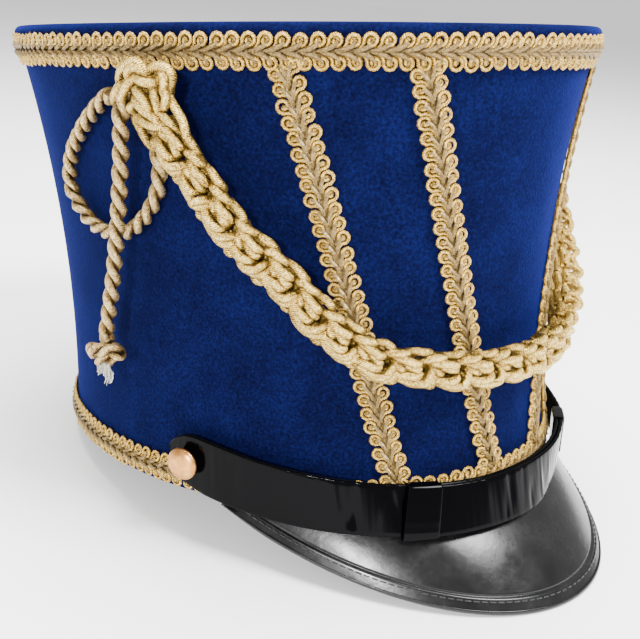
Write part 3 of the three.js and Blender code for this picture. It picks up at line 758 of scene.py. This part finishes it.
# %% Tail
END_PLACE = (85.3, 0.0464, 0.012)
END_KNOT_PATH = [
    (0.8, 6.4, 0.0), (0.6, 3.6, -0.4), (1.2, 1.0, -1.6), (4.0, -0.2, -1.2), (6.2, 0.6, 0.4),
    (5.0, 1.7, 2.0), (1.4, 1.1, 2.9), (-2.6, 0.3, 2.7), (-5.6, -0.7, 1.0), (-4.8, -2.3, 0.4),
    (-1.6, -2.6, 1.8), (1.6, -1.9, 1.6), (1.4, -1.2, -1.2), (-0.8, -2.6, -1.4), (-1.6, -4.8, -0.2),
]
FRAY_BUNDLES = [(-3.6, -4.4, 0.0, 4.6), (0.2, -4.0, 0.2, 7.2), (-1.6, -4.2, -0.4, 5.4)]
FRAY_STRANDS = 34
FRAY_RADIUS = 0.00016
FRAY_SPREAD = 0.45
FRAY_WAVE = 0.4
TAIL_FIRMNESS = 0.95


def make_tail():
    """The tail cord with its end knot and its frayed strands."""
    path = settled(set_on_crown(END_PLACE, -1, smooth_line(np.array(END_KNOT_PATH) * MM, 90)))
    plies = tubes(twisted(path), PLY_RADIUS * TAIL_FIRMNESS, 10)
    # The end knot's plies carry painted shade in their groove too.
    knot = make_piece("tail_end_knot", *plies, TWIST_CORD, painted_shade=painted_ply_shade(plies[0], path))
    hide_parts("tail_knot")
    spread = np.random.default_rng(3)
    share = np.linspace(0, 1, 9)
    lines = []
    for across, up, out, length in FRAY_BUNDLES:
        start = spread.normal(0, FRAY_SPREAD, (FRAY_STRANDS, 1, 3)) * [1, 0.3, 1]
        wave = spread.normal(0, FRAY_WAVE, (FRAY_STRANDS, 1, 3)) * [1, 0, 1]
        wave = wave * np.sin(share * 5 + spread.uniform(0, 6))[None, :, None]
        reach = spread.uniform(0.6, 1.0, (FRAY_STRANDS, 1)) * length
        drop = np.stack(np.broadcast_arrays(0 * reach, -reach * share, 0 * reach), -1)
        apart = start * (1 + 0.5 * share[None, :, None])
        lines.append(np.array([across, up, out]) + apart + wave + drop)
    strands = settled(set_on_crown(END_PLACE, -1, np.concatenate(lines) * MM))
    fray = make_piece("tail_frayed_strands", *tubes(strands, FRAY_RADIUS, 4), SILVER_FRAY)
    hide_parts("tail_fray")
    tail = twisted_cord("cord_tail_twisted", TAIL_ROUTE, far_end="knot", stiffness="limp", lay="hanging",
                        with_pieces=[knot, fray])
    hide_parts("cord_tail")


make_tail()

# %% [markdown]
# ## The crown
# The side is one closed skin: up the outside, over the seam under the top braid and down the inside. The
# inside faces get the bare board. The lid has its own skirt and a small rounded corner all round.

# %% Crown
ROUND = 240
SKIRT = 0.006
CORNER = 0.0022
DOME = 0.0015
SEAM_GAP = 0.0003
OUTSIDE_STEPS = 48
INSIDE_STEPS = 24
MIDDLE_SHARE = 0.01
ANGLES = np.linspace(0, 360, ROUND, endpoint=False)[:, None]


def make_crown_side():
    """Angles round by heights up the outside and down the inside."""
    top = HEIGHT - SKIRT - SEAM_GAP
    up, down = np.linspace(0, top, OUTSIDE_STEPS), np.linspace(top, 0, INSIDE_STEPS)
    heights = np.concatenate([up, down])[None]
    outs = np.concatenate([np.zeros(OUTSIDE_STEPS), np.full(INSIDE_STEPS, -WALL)])[None]
    points = settled(crown_point(ANGLES, heights, outs))
    inside = np.tile((np.arange(points.shape[1]) >= OUTSIDE_STEPS).astype(np.int32), ROUND)
    faces, _, _ = sheet(points, True, True)
    piece = make_piece("crown_side_velvet", points, faces, None, [], [VELVET, BOARD], face_material=inside)
    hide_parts("crown_side")


def make_crown_top():
    """A lid: the flat underside out from the middle, down inside the skirt and up outside it, then the
    rounded corner and a low dome back to the middle. A small cap closes each skin there."""
    turn = np.linspace(0, np.pi / 2, 7)[None]
    skirt = crown_point(ANGLES, np.linspace(HEIGHT - SKIRT, HEIGHT - CORNER, 4)[None], 0)
    edge = crown_point(ANGLES, HEIGHT, -CORNER * (1 - np.cos(turn)))
    edge[..., 2] -= CORNER * (1 - np.sin(turn))
    middle = crown_point(np.array([0.0, 180.0]), HEIGHT, 0).mean(0)
    share = np.linspace(0.97, MIDDLE_SHARE, 30)[None, :, None]
    disc = middle + (edge[:, -1:] - middle) * share
    disc[..., 2] += DOME * (1 - share[..., 0] ** 2)
    spread = np.linspace(MIDDLE_SHARE, 1, 12)[None, :, None]
    under = middle + (crown_point(ANGLES, HEIGHT, -CORNER - 0.001) - middle) * spread
    under[..., 2] -= WALL
    inner = crown_point(ANGLES, HEIGHT - SKIRT, -WALL)
    points = settled(np.concatenate([under, inner, skirt[:, :-1], edge, disc], 1))
    columns = points.shape[1]
    faces, _, _ = sheet(points, True, False)
    inside = np.tile((np.arange(columns - 1) <= under.shape[1]).astype(np.int32), ROUND)
    first = np.arange(ROUND) * columns
    caps = [first[::-1], first + columns - 1]
    piece = make_piece("crown_top_velvet", points, faces, None, caps, [VELVET, BOARD],
                       face_material=np.append(inside, [1, 0]))
    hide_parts("crown_top")


make_crown_side()
make_crown_top()
print("crown is", round(HEIGHT / MM), "mm high with walls", WALL / MM, "mm thick")

# %% [markdown]
# ## Gimp braid
# Gimp is a flat trim: a vine of strands down its middle throws a curled loop to each side. One loop is
# drawn once in millimetres (along, across, out) and repeated by arrays along each braid's line. A line
# is a row of angles and heights on the crown, with its heading, so the same loops go round or down.

# %% Gimp
LOOP_PITCH = 0.0045
LOOP_CORD = 0.00058
CORE_CORD = 0.0006
VINE_CORD = 0.00066
LOOP_PATH = [
    (-3.4, 0.5, 0.9), (-1.7, 1.7, 1.0), (-1.6, 3.3, 1.0), (-0.5, 4.5, 1.0), (0.9, 4.4, 1.0),
    (1.75, 3.3, 1.05), (1.3, 2.0, 1.2), (0.2, 1.6, 1.3), (-0.5, 2.4, 1.15), (-0.2, 3.2, 1.0),
]
CORE_PATH = [(-0.3, 2.2, 0.5), (0.5, 2.6, 0.95), (0.4, 3.5, 0.8), (-0.5, 3.4, 0.5)]
VINE_PATH = [(-4.9, 0.15, 0.8), (-3.0, 0.45, 1.7), (-1.2, 1.1, 1.95), (0.5, 2.15, 1.3)]
STRANDS = [(LOOP_PATH, 14, LOOP_CORD, 4), (CORE_PATH, 5, CORE_CORD, 4), (VINE_PATH, 6, VINE_CORD, 4)]
LOOP_VARIES = 0.035
LOOP_SLIPS = 0.00012
SIDE_SHIFT = 0.0008
# Where the outer and inner strands lie out, from which the painted shade is worked out.
GIMP_SHADE_DEPTHS = (0.0013, 0.0005)


def braid_points(line, local):
    """Local millimetres along, across and out, set on the crown at each place on a braid's line. Across
    is square to the line's heading: part of it is arc and part of it is height."""
    at = line["length"]
    place = np.clip(local[..., 0], at[0], at[-1]) if not line["closed"] else np.mod(local[..., 0], at[-1])
    angle, height, heading = (np.interp(place, at, line[key]) for key in ("angle", "height", "heading"))
    rate = arc_rate(angle, height)
    turned = angle + local[..., 1] * np.cos(heading) / rate
    return crown_point(turned, height - local[..., 1] * np.sin(heading), local[..., 2])


def round_line(height):
    """A line round the crown at one height, with the length of arc at each angle."""
    angle = np.linspace(0, 360, 721)
    length = np.concatenate([[0], np.cumsum(arc_rate((angle[1:] + angle[:-1]) / 2, height) * 0.5)])
    return {"angle": angle, "height": np.full(721, height), "heading": np.full(721, np.pi / 2),
            "length": length, "closed": True}


def front_line(top_angle, rim_angle, low, high):
    """A straight slanting line up the front, from the rim's braid to the top's."""
    height = np.linspace(low, high, 200)
    angle = rim_angle + (top_angle - rim_angle) * height / HEIGHT
    points = crown_point(angle, height, 0)
    length = along_line(points)
    heading = np.arctan2(np.gradient(angle) * arc_rate(angle, height), np.gradient(height))
    return {"angle": angle, "height": height, "heading": heading, "length": length, "closed": False}


def make_braid(name, node, line, seed):
    """Loops, their curled ends and vine strands for one braid, with small seeded differences between them."""
    total = line["length"][-1]
    number = round(total / LOOP_PITCH)
    starts = (np.arange(number) + 0.5) * total / number
    jitter = np.random.default_rng(seed)
    groups, kinds, painted_shade = [], [], []
    for side in (-1, 1):
        for kind, (path, steps, thick, sides) in enumerate(STRANDS):
            local = smooth_line(np.array(path) * MM, steps)[None].repeat(number, 0)
            local[..., 1] *= side
            local *= 1 + jitter.normal(0, LOOP_VARIES, (number, 1, 1))
            slip = jitter.normal(0, LOOP_SLIPS, number)
            local[..., 0] += (starts + slip + (SIDE_SHIFT if side > 0 else 0))[:, None]
            strands = braid_points(line, local)
            face = braid_points(line, local + [0, 0, MM]) - strands
            points, faces, uv, _ = tubes(settled(strands), thick, sides)
            groups.append((points, faces, uv, []))
            # Painted shade on the flanks of loops and vine and where they lie under.
            painted_shade.append(painted_strand_shade(points, strands, face, local[..., 2], *GIMP_SHADE_DEPTHS))
            kinds.append(np.full(len(faces), kind, np.int32))
    piece = make_piece(name, *joined(groups), [GIMP_LOOP, GIMP_CORE_SHADED, GIMP_VINE],
                       face_material=np.concatenate(kinds), painted_shade=np.concatenate(painted_shade))
    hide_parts(node)
    return number


def make_braid_base(name, line, half):
    """A thin woven strip under the vine, which hides the velvet between its strands."""
    total = line["length"][-1]
    steps = 360 if line["closed"] else 60
    along = np.linspace(0, total, steps, endpoint=not line["closed"])[:, None]
    across = np.array([-half, 0, half, half, 0, -half])[None]
    out = np.array([0.0004, 0.0009, 0.0004, 0.0002, 0.0002, 0.0002])[None]
    local = np.stack(np.broadcast_arrays(along, across, out), -1)
    points = settled(braid_points(line, local))
    piece = make_piece(name, points, *sheet(points, line["closed"], True, (total, 0.004)), GIMP_VINE)


BRAID_WIDTH = 0.0105
TOP_BRAID_MIDDLE = HEIGHT - 0.0023 - BRAID_WIDTH / 2
RIM_BRAID_MIDDLE = 0.0003 + BRAID_WIDTH / 2
BRAID_LAP = 0.003
BASE_HALF = 0.0015
FRONT_BRAIDS = [
    ("outer_right", -51.5, -29), ("inner_right", -29.7, -5.9), ("inner_left", 33, 9.2),
    ("outer_left", 51.5, 29),
]
LINES = {
    "top_braid": round_line(TOP_BRAID_MIDDLE),
    "rim_braid": round_line(RIM_BRAID_MIDDLE),
}
for word, top_angle, rim_angle in FRONT_BRAIDS:
    LINES[f"front_braid_{word}"] = front_line(top_angle, rim_angle, RIM_BRAID_MIDDLE + BRAID_LAP,
                                              TOP_BRAID_MIDDLE - BRAID_LAP)
for seed, (node, line) in enumerate(LINES.items()):
    count = make_braid(f"{node}_gimp", node, line, seed)
    make_braid_base(f"{node}_base", line, BASE_HALF)
    print(node, "has", 2 * count, "loops")

# %% [markdown]
# ## The peak
# The peak is a sheet of leathercloth over board, cut as a crescent and sewn to the rim so that it slopes
# down and curls round the sides. A groove is pressed a little way in from the edge, a row of stitches
# runs between groove and edge, and the edge itself is rolled.

# %% Peak
PEAK = {"reach": 0.0395, "half_angle": 65, "ahead": 0.75, "slope": 47.5, "side_slope": 74, "thick": 0.0018,
        "drop": 0.0005, "tuck": 0.0012, "lap": 0.001, "bulge": 0.0015, "taper": 0.985}
BORDER = 0.0075
LIP = 0.00135
GROOVE_IN = 0.0046
GROOVE_DEEP = 0.00055
GROOVE_WIDE = 0.00045
BORDER_RISE = 0.00035
BORDER_SOFT = 0.0003
STITCH_IN = 0.0028
STITCH_PITCH = 0.0026
STITCH_HALF = 0.0009
THREAD_RADIUS = 0.00025
RELIEF_FROM = 0.006
RELIEF_OVER = 0.01
FULL_THICK_FROM = 0.009
THREAD_LIES = 0.00042
THREAD_ARCH = 0.00022


def peak_point(share, across):
    """A ruled sheet: from a root under the rim to an edge that leaves it partly straight ahead and partly
    square to the crown, with a slight rise between them."""
    share, across = np.broadcast_arrays(share, across)
    angle = share * PEAK["half_angle"]
    reach = PEAK["reach"] * np.cos(share * np.pi / 2 * PEAK["taper"])
    slope = np.radians(PEAK["slope"] + (PEAK["side_slope"] - PEAK["slope"]) * share**2)
    step = crown_point(angle + 0.1, 0, 0) - crown_point(angle - 0.1, 0, 0)
    square = unit(np.stack([step[..., 1], -step[..., 0], 0 * angle], -1))
    heading = square * (1 - PEAK["ahead"]) + np.array([0, -1, 0]) * PEAK["ahead"]
    root = crown_point(angle, 0, -PEAK["tuck"])
    root[..., 2] = -PEAK["drop"]
    edge = crown_point(angle, 0, PEAK["lap"]) + heading * (reach * np.cos(slope))[..., None]
    edge[..., 2] = -PEAK["drop"] - reach * np.sin(slope)
    lift = unit(heading) * np.sin(slope)[..., None] + np.array([0, 0, 1]) * np.cos(slope)[..., None]
    rise = PEAK["bulge"] * np.cos(share * np.pi / 2) * np.sin(np.pi * across)
    return root + (edge - root) * across[..., None] + lift * rise[..., None]


def peak_normal(share, across):
    """The sheet's upward side: the cross product of its two directions."""
    step = 0.005
    along = peak_point(share + step, across) - peak_point(share - step, across)
    out = peak_point(share, across + step) - peak_point(share, across - step)
    return unit(np.cross(out, along))


def peak_reach(share):
    """The sheet's width from root to edge."""
    return np.linalg.norm(peak_point(share, 1.0) - peak_point(share, 0.0), axis=-1)


def edge_relief(inward):
    """Height of the surface at a distance in from the edge: a pressed groove, then a slightly raised
    border with a rolled lip at the very edge."""
    groove = -GROOVE_DEEP * np.exp(-((inward - GROOVE_IN) / GROOVE_WIDE) ** 2)
    border = BORDER_RISE / (1 + np.exp((inward - GROOVE_IN) / BORDER_SOFT))
    return groove + border


def make_peak():
    """The top face with its relief, round the lip and back along the underside. All of it thins out towards
    the two tips, where the sheet's width falls away."""
    share = np.linspace(-1, 1, 241)[:, None]
    reach = peak_reach(share)
    border = np.minimum(BORDER, reach / 2)
    wide, fine = np.linspace(1, 0, 26)[None, :-1], np.linspace(1, 0, 30)[None]
    inward = np.concatenate([border + (reach - border) * wide, border * fine], 1)
    fade = np.clip((reach - RELIEF_FROM) / RELIEF_OVER, 0, 1)
    across = 1 - inward / reach
    top = peak_point(share, across) + peak_normal(share, across) * (edge_relief(inward) * fade)[..., None]
    turn = np.linspace(np.radians(100), np.radians(-140), 12)[None, :, None]
    edge, up = peak_point(share, 1.0)[:, None, 0], peak_normal(share, 1.0)[:, None, 0]
    out = unit(edge - peak_point(share, 0.9)[:, None, 0])
    thin = np.clip(reach / FULL_THICK_FROM, 0.3, 1)[..., None]
    lip = edge + LIP * thin * (np.cos(turn) * out + (np.sin(turn) - 0.55) * up)
    back = np.linspace(1, 0, 14)[None]
    under = peak_point(share, back) - PEAK["thick"] * thin * peak_normal(share, back)
    points = settled(np.concatenate([top, lip, under[:, 1:]], 1))
    piece = make_piece("peak_leathercloth", points, *sheet(points, False, True), LEATHERCLOTH)
    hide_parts("peak", "peak_binding")
    print("peak reaches", round(float(reach.max()) / MM, 1), "mm")


def make_peak_stitches():
    """Short thread tubes laid along the border, each sunk at its ends."""
    share = np.linspace(-0.93, 0.93, 600)
    across = 1 - STITCH_IN / peak_reach(share)
    line = peak_point(share, across)
    length = along_line(line)
    number = int(length[-1] / STITCH_PITCH)
    centre = (np.arange(number) + 0.5) * length[-1] / number
    at = centre[:, None] + np.linspace(-STITCH_HALF, STITCH_HALF, 6)[None]
    place = np.interp(at, length, share)
    away = 1 - STITCH_IN / peak_reach(place)
    arch = THREAD_LIES + THREAD_ARCH * np.cos(np.linspace(-1, 1, 6) * np.pi / 2)[None]
    lines = peak_point(place, away) + peak_normal(place, away) * (arch + 0 * place)[..., None]
    piece = make_piece("peak_stitches", *tubes(settled(lines), THREAD_RADIUS, 5), STITCH)
    print("peak has", number, "stitches")


make_peak()
make_peak_stitches()

# %% [markdown]
# ## The chin strap
# Two layers of patent vinyl overlap across the front, each held by the other's keeper. The strap's
# middle surface is read from a short table of angle in degrees, then height, width, how far it stands
# off and how it leans in millimetres.

# %% Strap
STRAP_THICK = 0.0013
STRAP_GAP = 0.0003
STRAP_CORNER = 0.00045
STRAP_WIDTH = 0.015
WRINKLE_ZONES = [(-42, -22, 16), (-4, 40, 34), (-70, 70, 22)]
STRAP_ROWS = np.array([
    (-75, 12.3, 9, 3.6, 0), (-73.6, 12.4, 14, 3.6, 0), (-71, 12.4, 17.5, 3.7, 0.2), (-67, 11, 19, 4, 0.6),
    (-57, 7.6, 18.2, 4.6, 1.4), (-45, 4.9, 17, 5.9, 2.5), (-31, 2.8, 15.8, 7.1, 3.4),
    (-14, 1.6, 15.1, 7.7, 3.4), (0, 1.6, 15, 7.5, 2.8), (10, 2.5, 14.4, 6.3, -0.4),
    (20, 3.8, 13.6, 5.3, -1.2), (30, 3.7, 14.2, 4.9, 0), (42, 3.6, 15.6, 4.6, 0.9),
    (57, 6.6, 17.7, 4.2, 0.8), (67, 11, 19, 4, 0.6), (71, 12.4, 17.5, 3.7, 0.2), (73.6, 12.4, 14, 3.6, 0),
    (75, 12.3, 9, 3.6, 0),
])


def between_rows(angle):
    """The table's columns at an angle, by the Hermite curve through the rows with their mean slopes."""
    rows = STRAP_ROWS
    turn = np.clip(angle, rows[0, 0], rows[-1, 0])
    i = np.clip(np.searchsorted(rows[:, 0], turn, side="right") - 1, 0, len(rows) - 2)
    before, after = rows[np.maximum(i - 1, 0)], rows[np.minimum(i + 2, len(rows) - 1)]
    start, end = rows[i], rows[i + 1]
    span = end[..., :1] - start[..., :1]
    t = (np.asarray(turn)[..., None] - start[..., :1]) / span
    slope_start = (end - before) / (end[..., :1] - before[..., :1]) * span
    slope_end = (after - start) / (after[..., :1] - start[..., :1]) * span
    value = ((2 * t**3 - 3 * t**2 + 1) * start + (t**3 - 2 * t**2 + t) * slope_start
             + (3 * t**2 - 2 * t**3) * end + (t**3 - t**2) * slope_end)
    return np.moveaxis(value[..., 1:] * MM, -1, 0)


def strap_point(angle, across, out):
    """A point up across the strap's width from -1 to 1, and out from its middle surface."""
    angle, across, out = np.broadcast_arrays(np.asarray(angle, float), across, out)
    height, width, stand, lean = between_rows(angle)
    points = crown_point(angle, 0, stand - lean / 2 * across + out)
    points[..., 2] = height + width / 2 * across
    return points


def band_outline(thick, corner, flats):
    """A flat band's section with round corners, once round from its upper edge down the face and up the
    back: which half each point is on as a share, how far it is in from that edge, and how far out."""
    turn = np.linspace(0, np.pi / 2, 5)
    inset, out = corner * (1 - np.cos(turn)), thick / 2 - corner * (1 - np.sin(turn))
    flat, one = np.linspace(1, -1, flats + 2)[1:-1], np.ones(len(turn))
    level, face = np.zeros(flats), np.full(flats, thick / 2)
    share = np.concatenate([one, flat, -one, -one, -flat, one])
    insets = np.concatenate([inset, level, inset[::-1], inset, level, inset[::-1]])
    outs = np.concatenate([out, face, out[::-1], -out, -face, -out[::-1]])
    return share, insets, outs


def wrinkles(angle, across, seed):
    """Dents from folding: each a bell curve along the strap, leaning with height, that fades up and down."""
    draw = np.random.default_rng(seed)
    places = [draw.uniform(low, high, number) for low, high, number in WRINKLE_ZONES]
    at = np.concatenate(places)[:, None, None]
    lean, middle, half, wide, depth = (
        draw.uniform(low, high, at.shape)
        for low, high in ((-0.5, 0.5), (-0.6, 0.6), (0.3, 1.1), (0.35, 0.9), (-0.00034, 0.0002)))
    ridge = np.exp(-(((angle - at - lean * across) / wide) ** 2)) * np.exp(-(((across - middle) / half) ** 2))
    return (depth * ridge).sum(0)


def make_strap(name, node, start, end, middle, seed):
    """A strap layer: the band's section carried from angle to angle, lacquered outside and cloth inside."""
    angle = np.linspace(start, end, 420)[:, None]
    share, inset, out = band_outline(STRAP_THICK, STRAP_CORNER, 9)
    across = share[None] - np.sign(share)[None] * inset[None] / (between_rows(angle)[1] / 2)
    points = settled(strap_point(angle, across, middle + out[None] + wrinkles(angle, across, seed)))
    rows, columns = points.shape[:2]
    grid = sheet(points, False, True, (line_length(points[:, 0]), 2 * STRAP_WIDTH))
    back = np.tile((np.arange(columns) >= columns // 2).astype(np.int32), rows - 1)
    piece = make_piece(name, points, *grid, [PATENT, BACKING], face_material=back)
    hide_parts(node)
    print(name, "is", round(line_length(points[:, 0]) / MM), "mm long")


LAYER_OUT = (STRAP_THICK + STRAP_GAP) / 2
STRAP_END = 75
LAP_END = 28.5
make_strap("chin_strap_right_patent", "chin_strap_right", -STRAP_END, LAP_END, -LAYER_OUT, 11)
make_strap("chin_strap_left_patent", "chin_strap_left", -LAP_END, STRAP_END, LAYER_OUT, 12)

# %% [markdown]
# ### Keepers
# A keeper is a short sleeve of the same vinyl, folded round both layers and glued at the back, so that
# each strap can slide in the other's sleeve.

# %% Keepers
KEEPER_ANGLE = 27
KEEPER_LENGTH = 0.01
KEEPER_THICK = 0.0004
KEEPER_CLEAR = 0.00015
KEEPER_SLANT = 0.8
KEEPER_CORNER = 0.0009


def make_keeper(name, node, angle):
    """A sleeve: the band's outline with a thin rounded section of its own, carried once round."""
    half_width = float(between_rows(float(angle))[1]) / 2
    reach = 2 * STRAP_THICK + STRAP_GAP + 2 * KEEPER_CLEAR + KEEPER_THICK
    share, inset, out = band_outline(reach, KEEPER_CORNER, 5)
    wider = 1 + (KEEPER_CLEAR + KEEPER_THICK / 2) / half_width
    across = share * wider - np.sign(share) * inset / half_width
    turn = np.linspace(0, 2 * np.pi, 20, endpoint=False)[None]
    side = np.sign(np.cos(turn)) * np.abs(np.cos(turn)) ** 0.35
    depth = KEEPER_THICK / 2 * np.sign(np.sin(turn)) * np.abs(np.sin(turn)) ** 0.6
    lead = math.copysign(KEEPER_SLANT, angle) * np.clip(across, -1, 1)[:, None]
    along = angle + KEEPER_LENGTH / 2 / arc_rate(angle, 0) * side - lead
    points = settled(strap_point(along, across[:, None] * (1 + depth / half_width),
                                 out[:, None] * (1 + 2 * depth / reach)))
    grid = sheet(points, True, True, (2 * STRAP_WIDTH, 2 * KEEPER_LENGTH))
    piece = make_piece(name, points, *grid, PATENT)
    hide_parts(node)
    print(name, "is", round(reach / MM, 1), "mm deep")


make_keeper("strap_keeper_right_patent", "strap_keeper_right", -KEEPER_ANGLE)
make_keeper("strap_keeper_left_patent", "strap_keeper_left", KEEPER_ANGLE)

# %% [markdown]
# ## The buttons
# Each button is a turned dome with a rolled edge. Its profile is carried once round an axis that points
# straight out from the crown. The roll is a row of places: a share of the radius and a height.

# %% Buttons
BUTTON_ANGLE = 71
BUTTON_HEIGHT = 0.0126
BUTTON_RADIUS = 0.0054
BUTTON_DOME = 0.0032
BUTTON_EDGE = 0.0009
BUTTON_OFF = 0.0006
BUTTON_SIDES = 48
BUTTON_ROLL = np.array([(0.985, 0.00055), (0.93, 0.0002), (0.8, 0), (0.4, 0), (0, 0)])


def make_button(name, node, side):
    """A dome: radius times the sine and height times the cosine of a turn, over a small rolled edge."""
    turn = np.linspace(0, np.pi / 2, 14)
    radius = BUTTON_RADIUS * np.concatenate([np.sin(turn), BUTTON_ROLL[:, 0]])
    rise = np.concatenate([BUTTON_EDGE + (BUTTON_DOME - BUTTON_EDGE) * np.cos(turn), BUTTON_ROLL[:, 1]])
    angle = side * BUTTON_ANGLE
    seat = strap_point(np.array([float(angle)]), 0.0, STRAP_THICK + BUTTON_OFF)[0]
    seat[2] = BUTTON_HEIGHT
    out = unit(crown_point(angle, 0, MM) - crown_point(angle, 0, 0))
    across = unit(np.cross([0, 0, 1], out))
    up = np.cross(out, across)
    spin = np.linspace(0, 2 * np.pi, BUTTON_SIDES, endpoint=False)[:, None, None]
    ring = np.cos(spin) * across + np.sin(spin) * up
    points = settled(seat + radius[None, :, None] * ring + rise[None, :, None] * out)
    piece = make_piece(name, points, *sheet(points, True, False), BUTTON)
    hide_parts(node)


make_button("button_right_dome", "button_right", -1)
make_button("button_left_dome", "button_left", 1)
print("buttons are", round(2 * BUTTON_RADIUS / MM, 1), "mm across")

# %% [markdown]
# ## Floor and light
# A plain pale floor and a white surround fill the hat from all round. A soft key light shines from above
# the front, a wider one from above and behind, and a small low one on the wearer's right gives the peak
# its bright spot.

# %% Stage
def make_floor():
    """A large flat sheet at the level that the hat rests on."""
    material = new_material("floor_pale_paper", Roughness=0.9, Base_Color=linear("#fafafa"))[0]
    size = 4.0
    corners = [(-size, -size, 0), (size, -size, 0), (size, size, 0), (-size, size, 0)]
    mesh = bpy.data.meshes.new("floor")
    mesh.from_pydata(corners, [], [(0, 1, 2, 3)])
    mesh.materials.append(material)
    floor = bpy.data.objects.new("floor", mesh)
    floor.location.z = -0.0002
    bpy.context.scene.collection.objects.link(floor)


def area_light(name, place, size, power):
    """A square soft light at a place, facing the middle of the hat."""
    data = bpy.data.lights.new(name, "AREA")
    data.shape = "SQUARE"
    data.size = size
    data.energy = power
    light = bpy.data.objects.new(name, data)
    aim = Vector((0, -0.02, 0.08)) - Vector(place)
    light.matrix_world = Matrix.Translation(place) @ aim.to_track_quat("-Z", "Y").to_matrix().to_4x4()
    bpy.context.scene.collection.objects.link(light)


make_floor()
area_light("key_front", (0.2, -0.75, 1.2), 0.45, 52)
area_light("top_soft", (0.1, 0.2, 1.1), 0.7, 34)
area_light("peak_spot", (-0.84, -0.55, 0.45), 0.1, 17)
world = bpy.data.worlds.new("surround")
bpy.context.scene.world = world
world.use_nodes = True
sky = world.node_tree.nodes["Background"]
sky.inputs["Color"].default_value = (1, 1, 1, 1)
sky.inputs["Strength"].default_value = 0.95
print("lights:", ", ".join(light.name for light in bpy.data.lights))
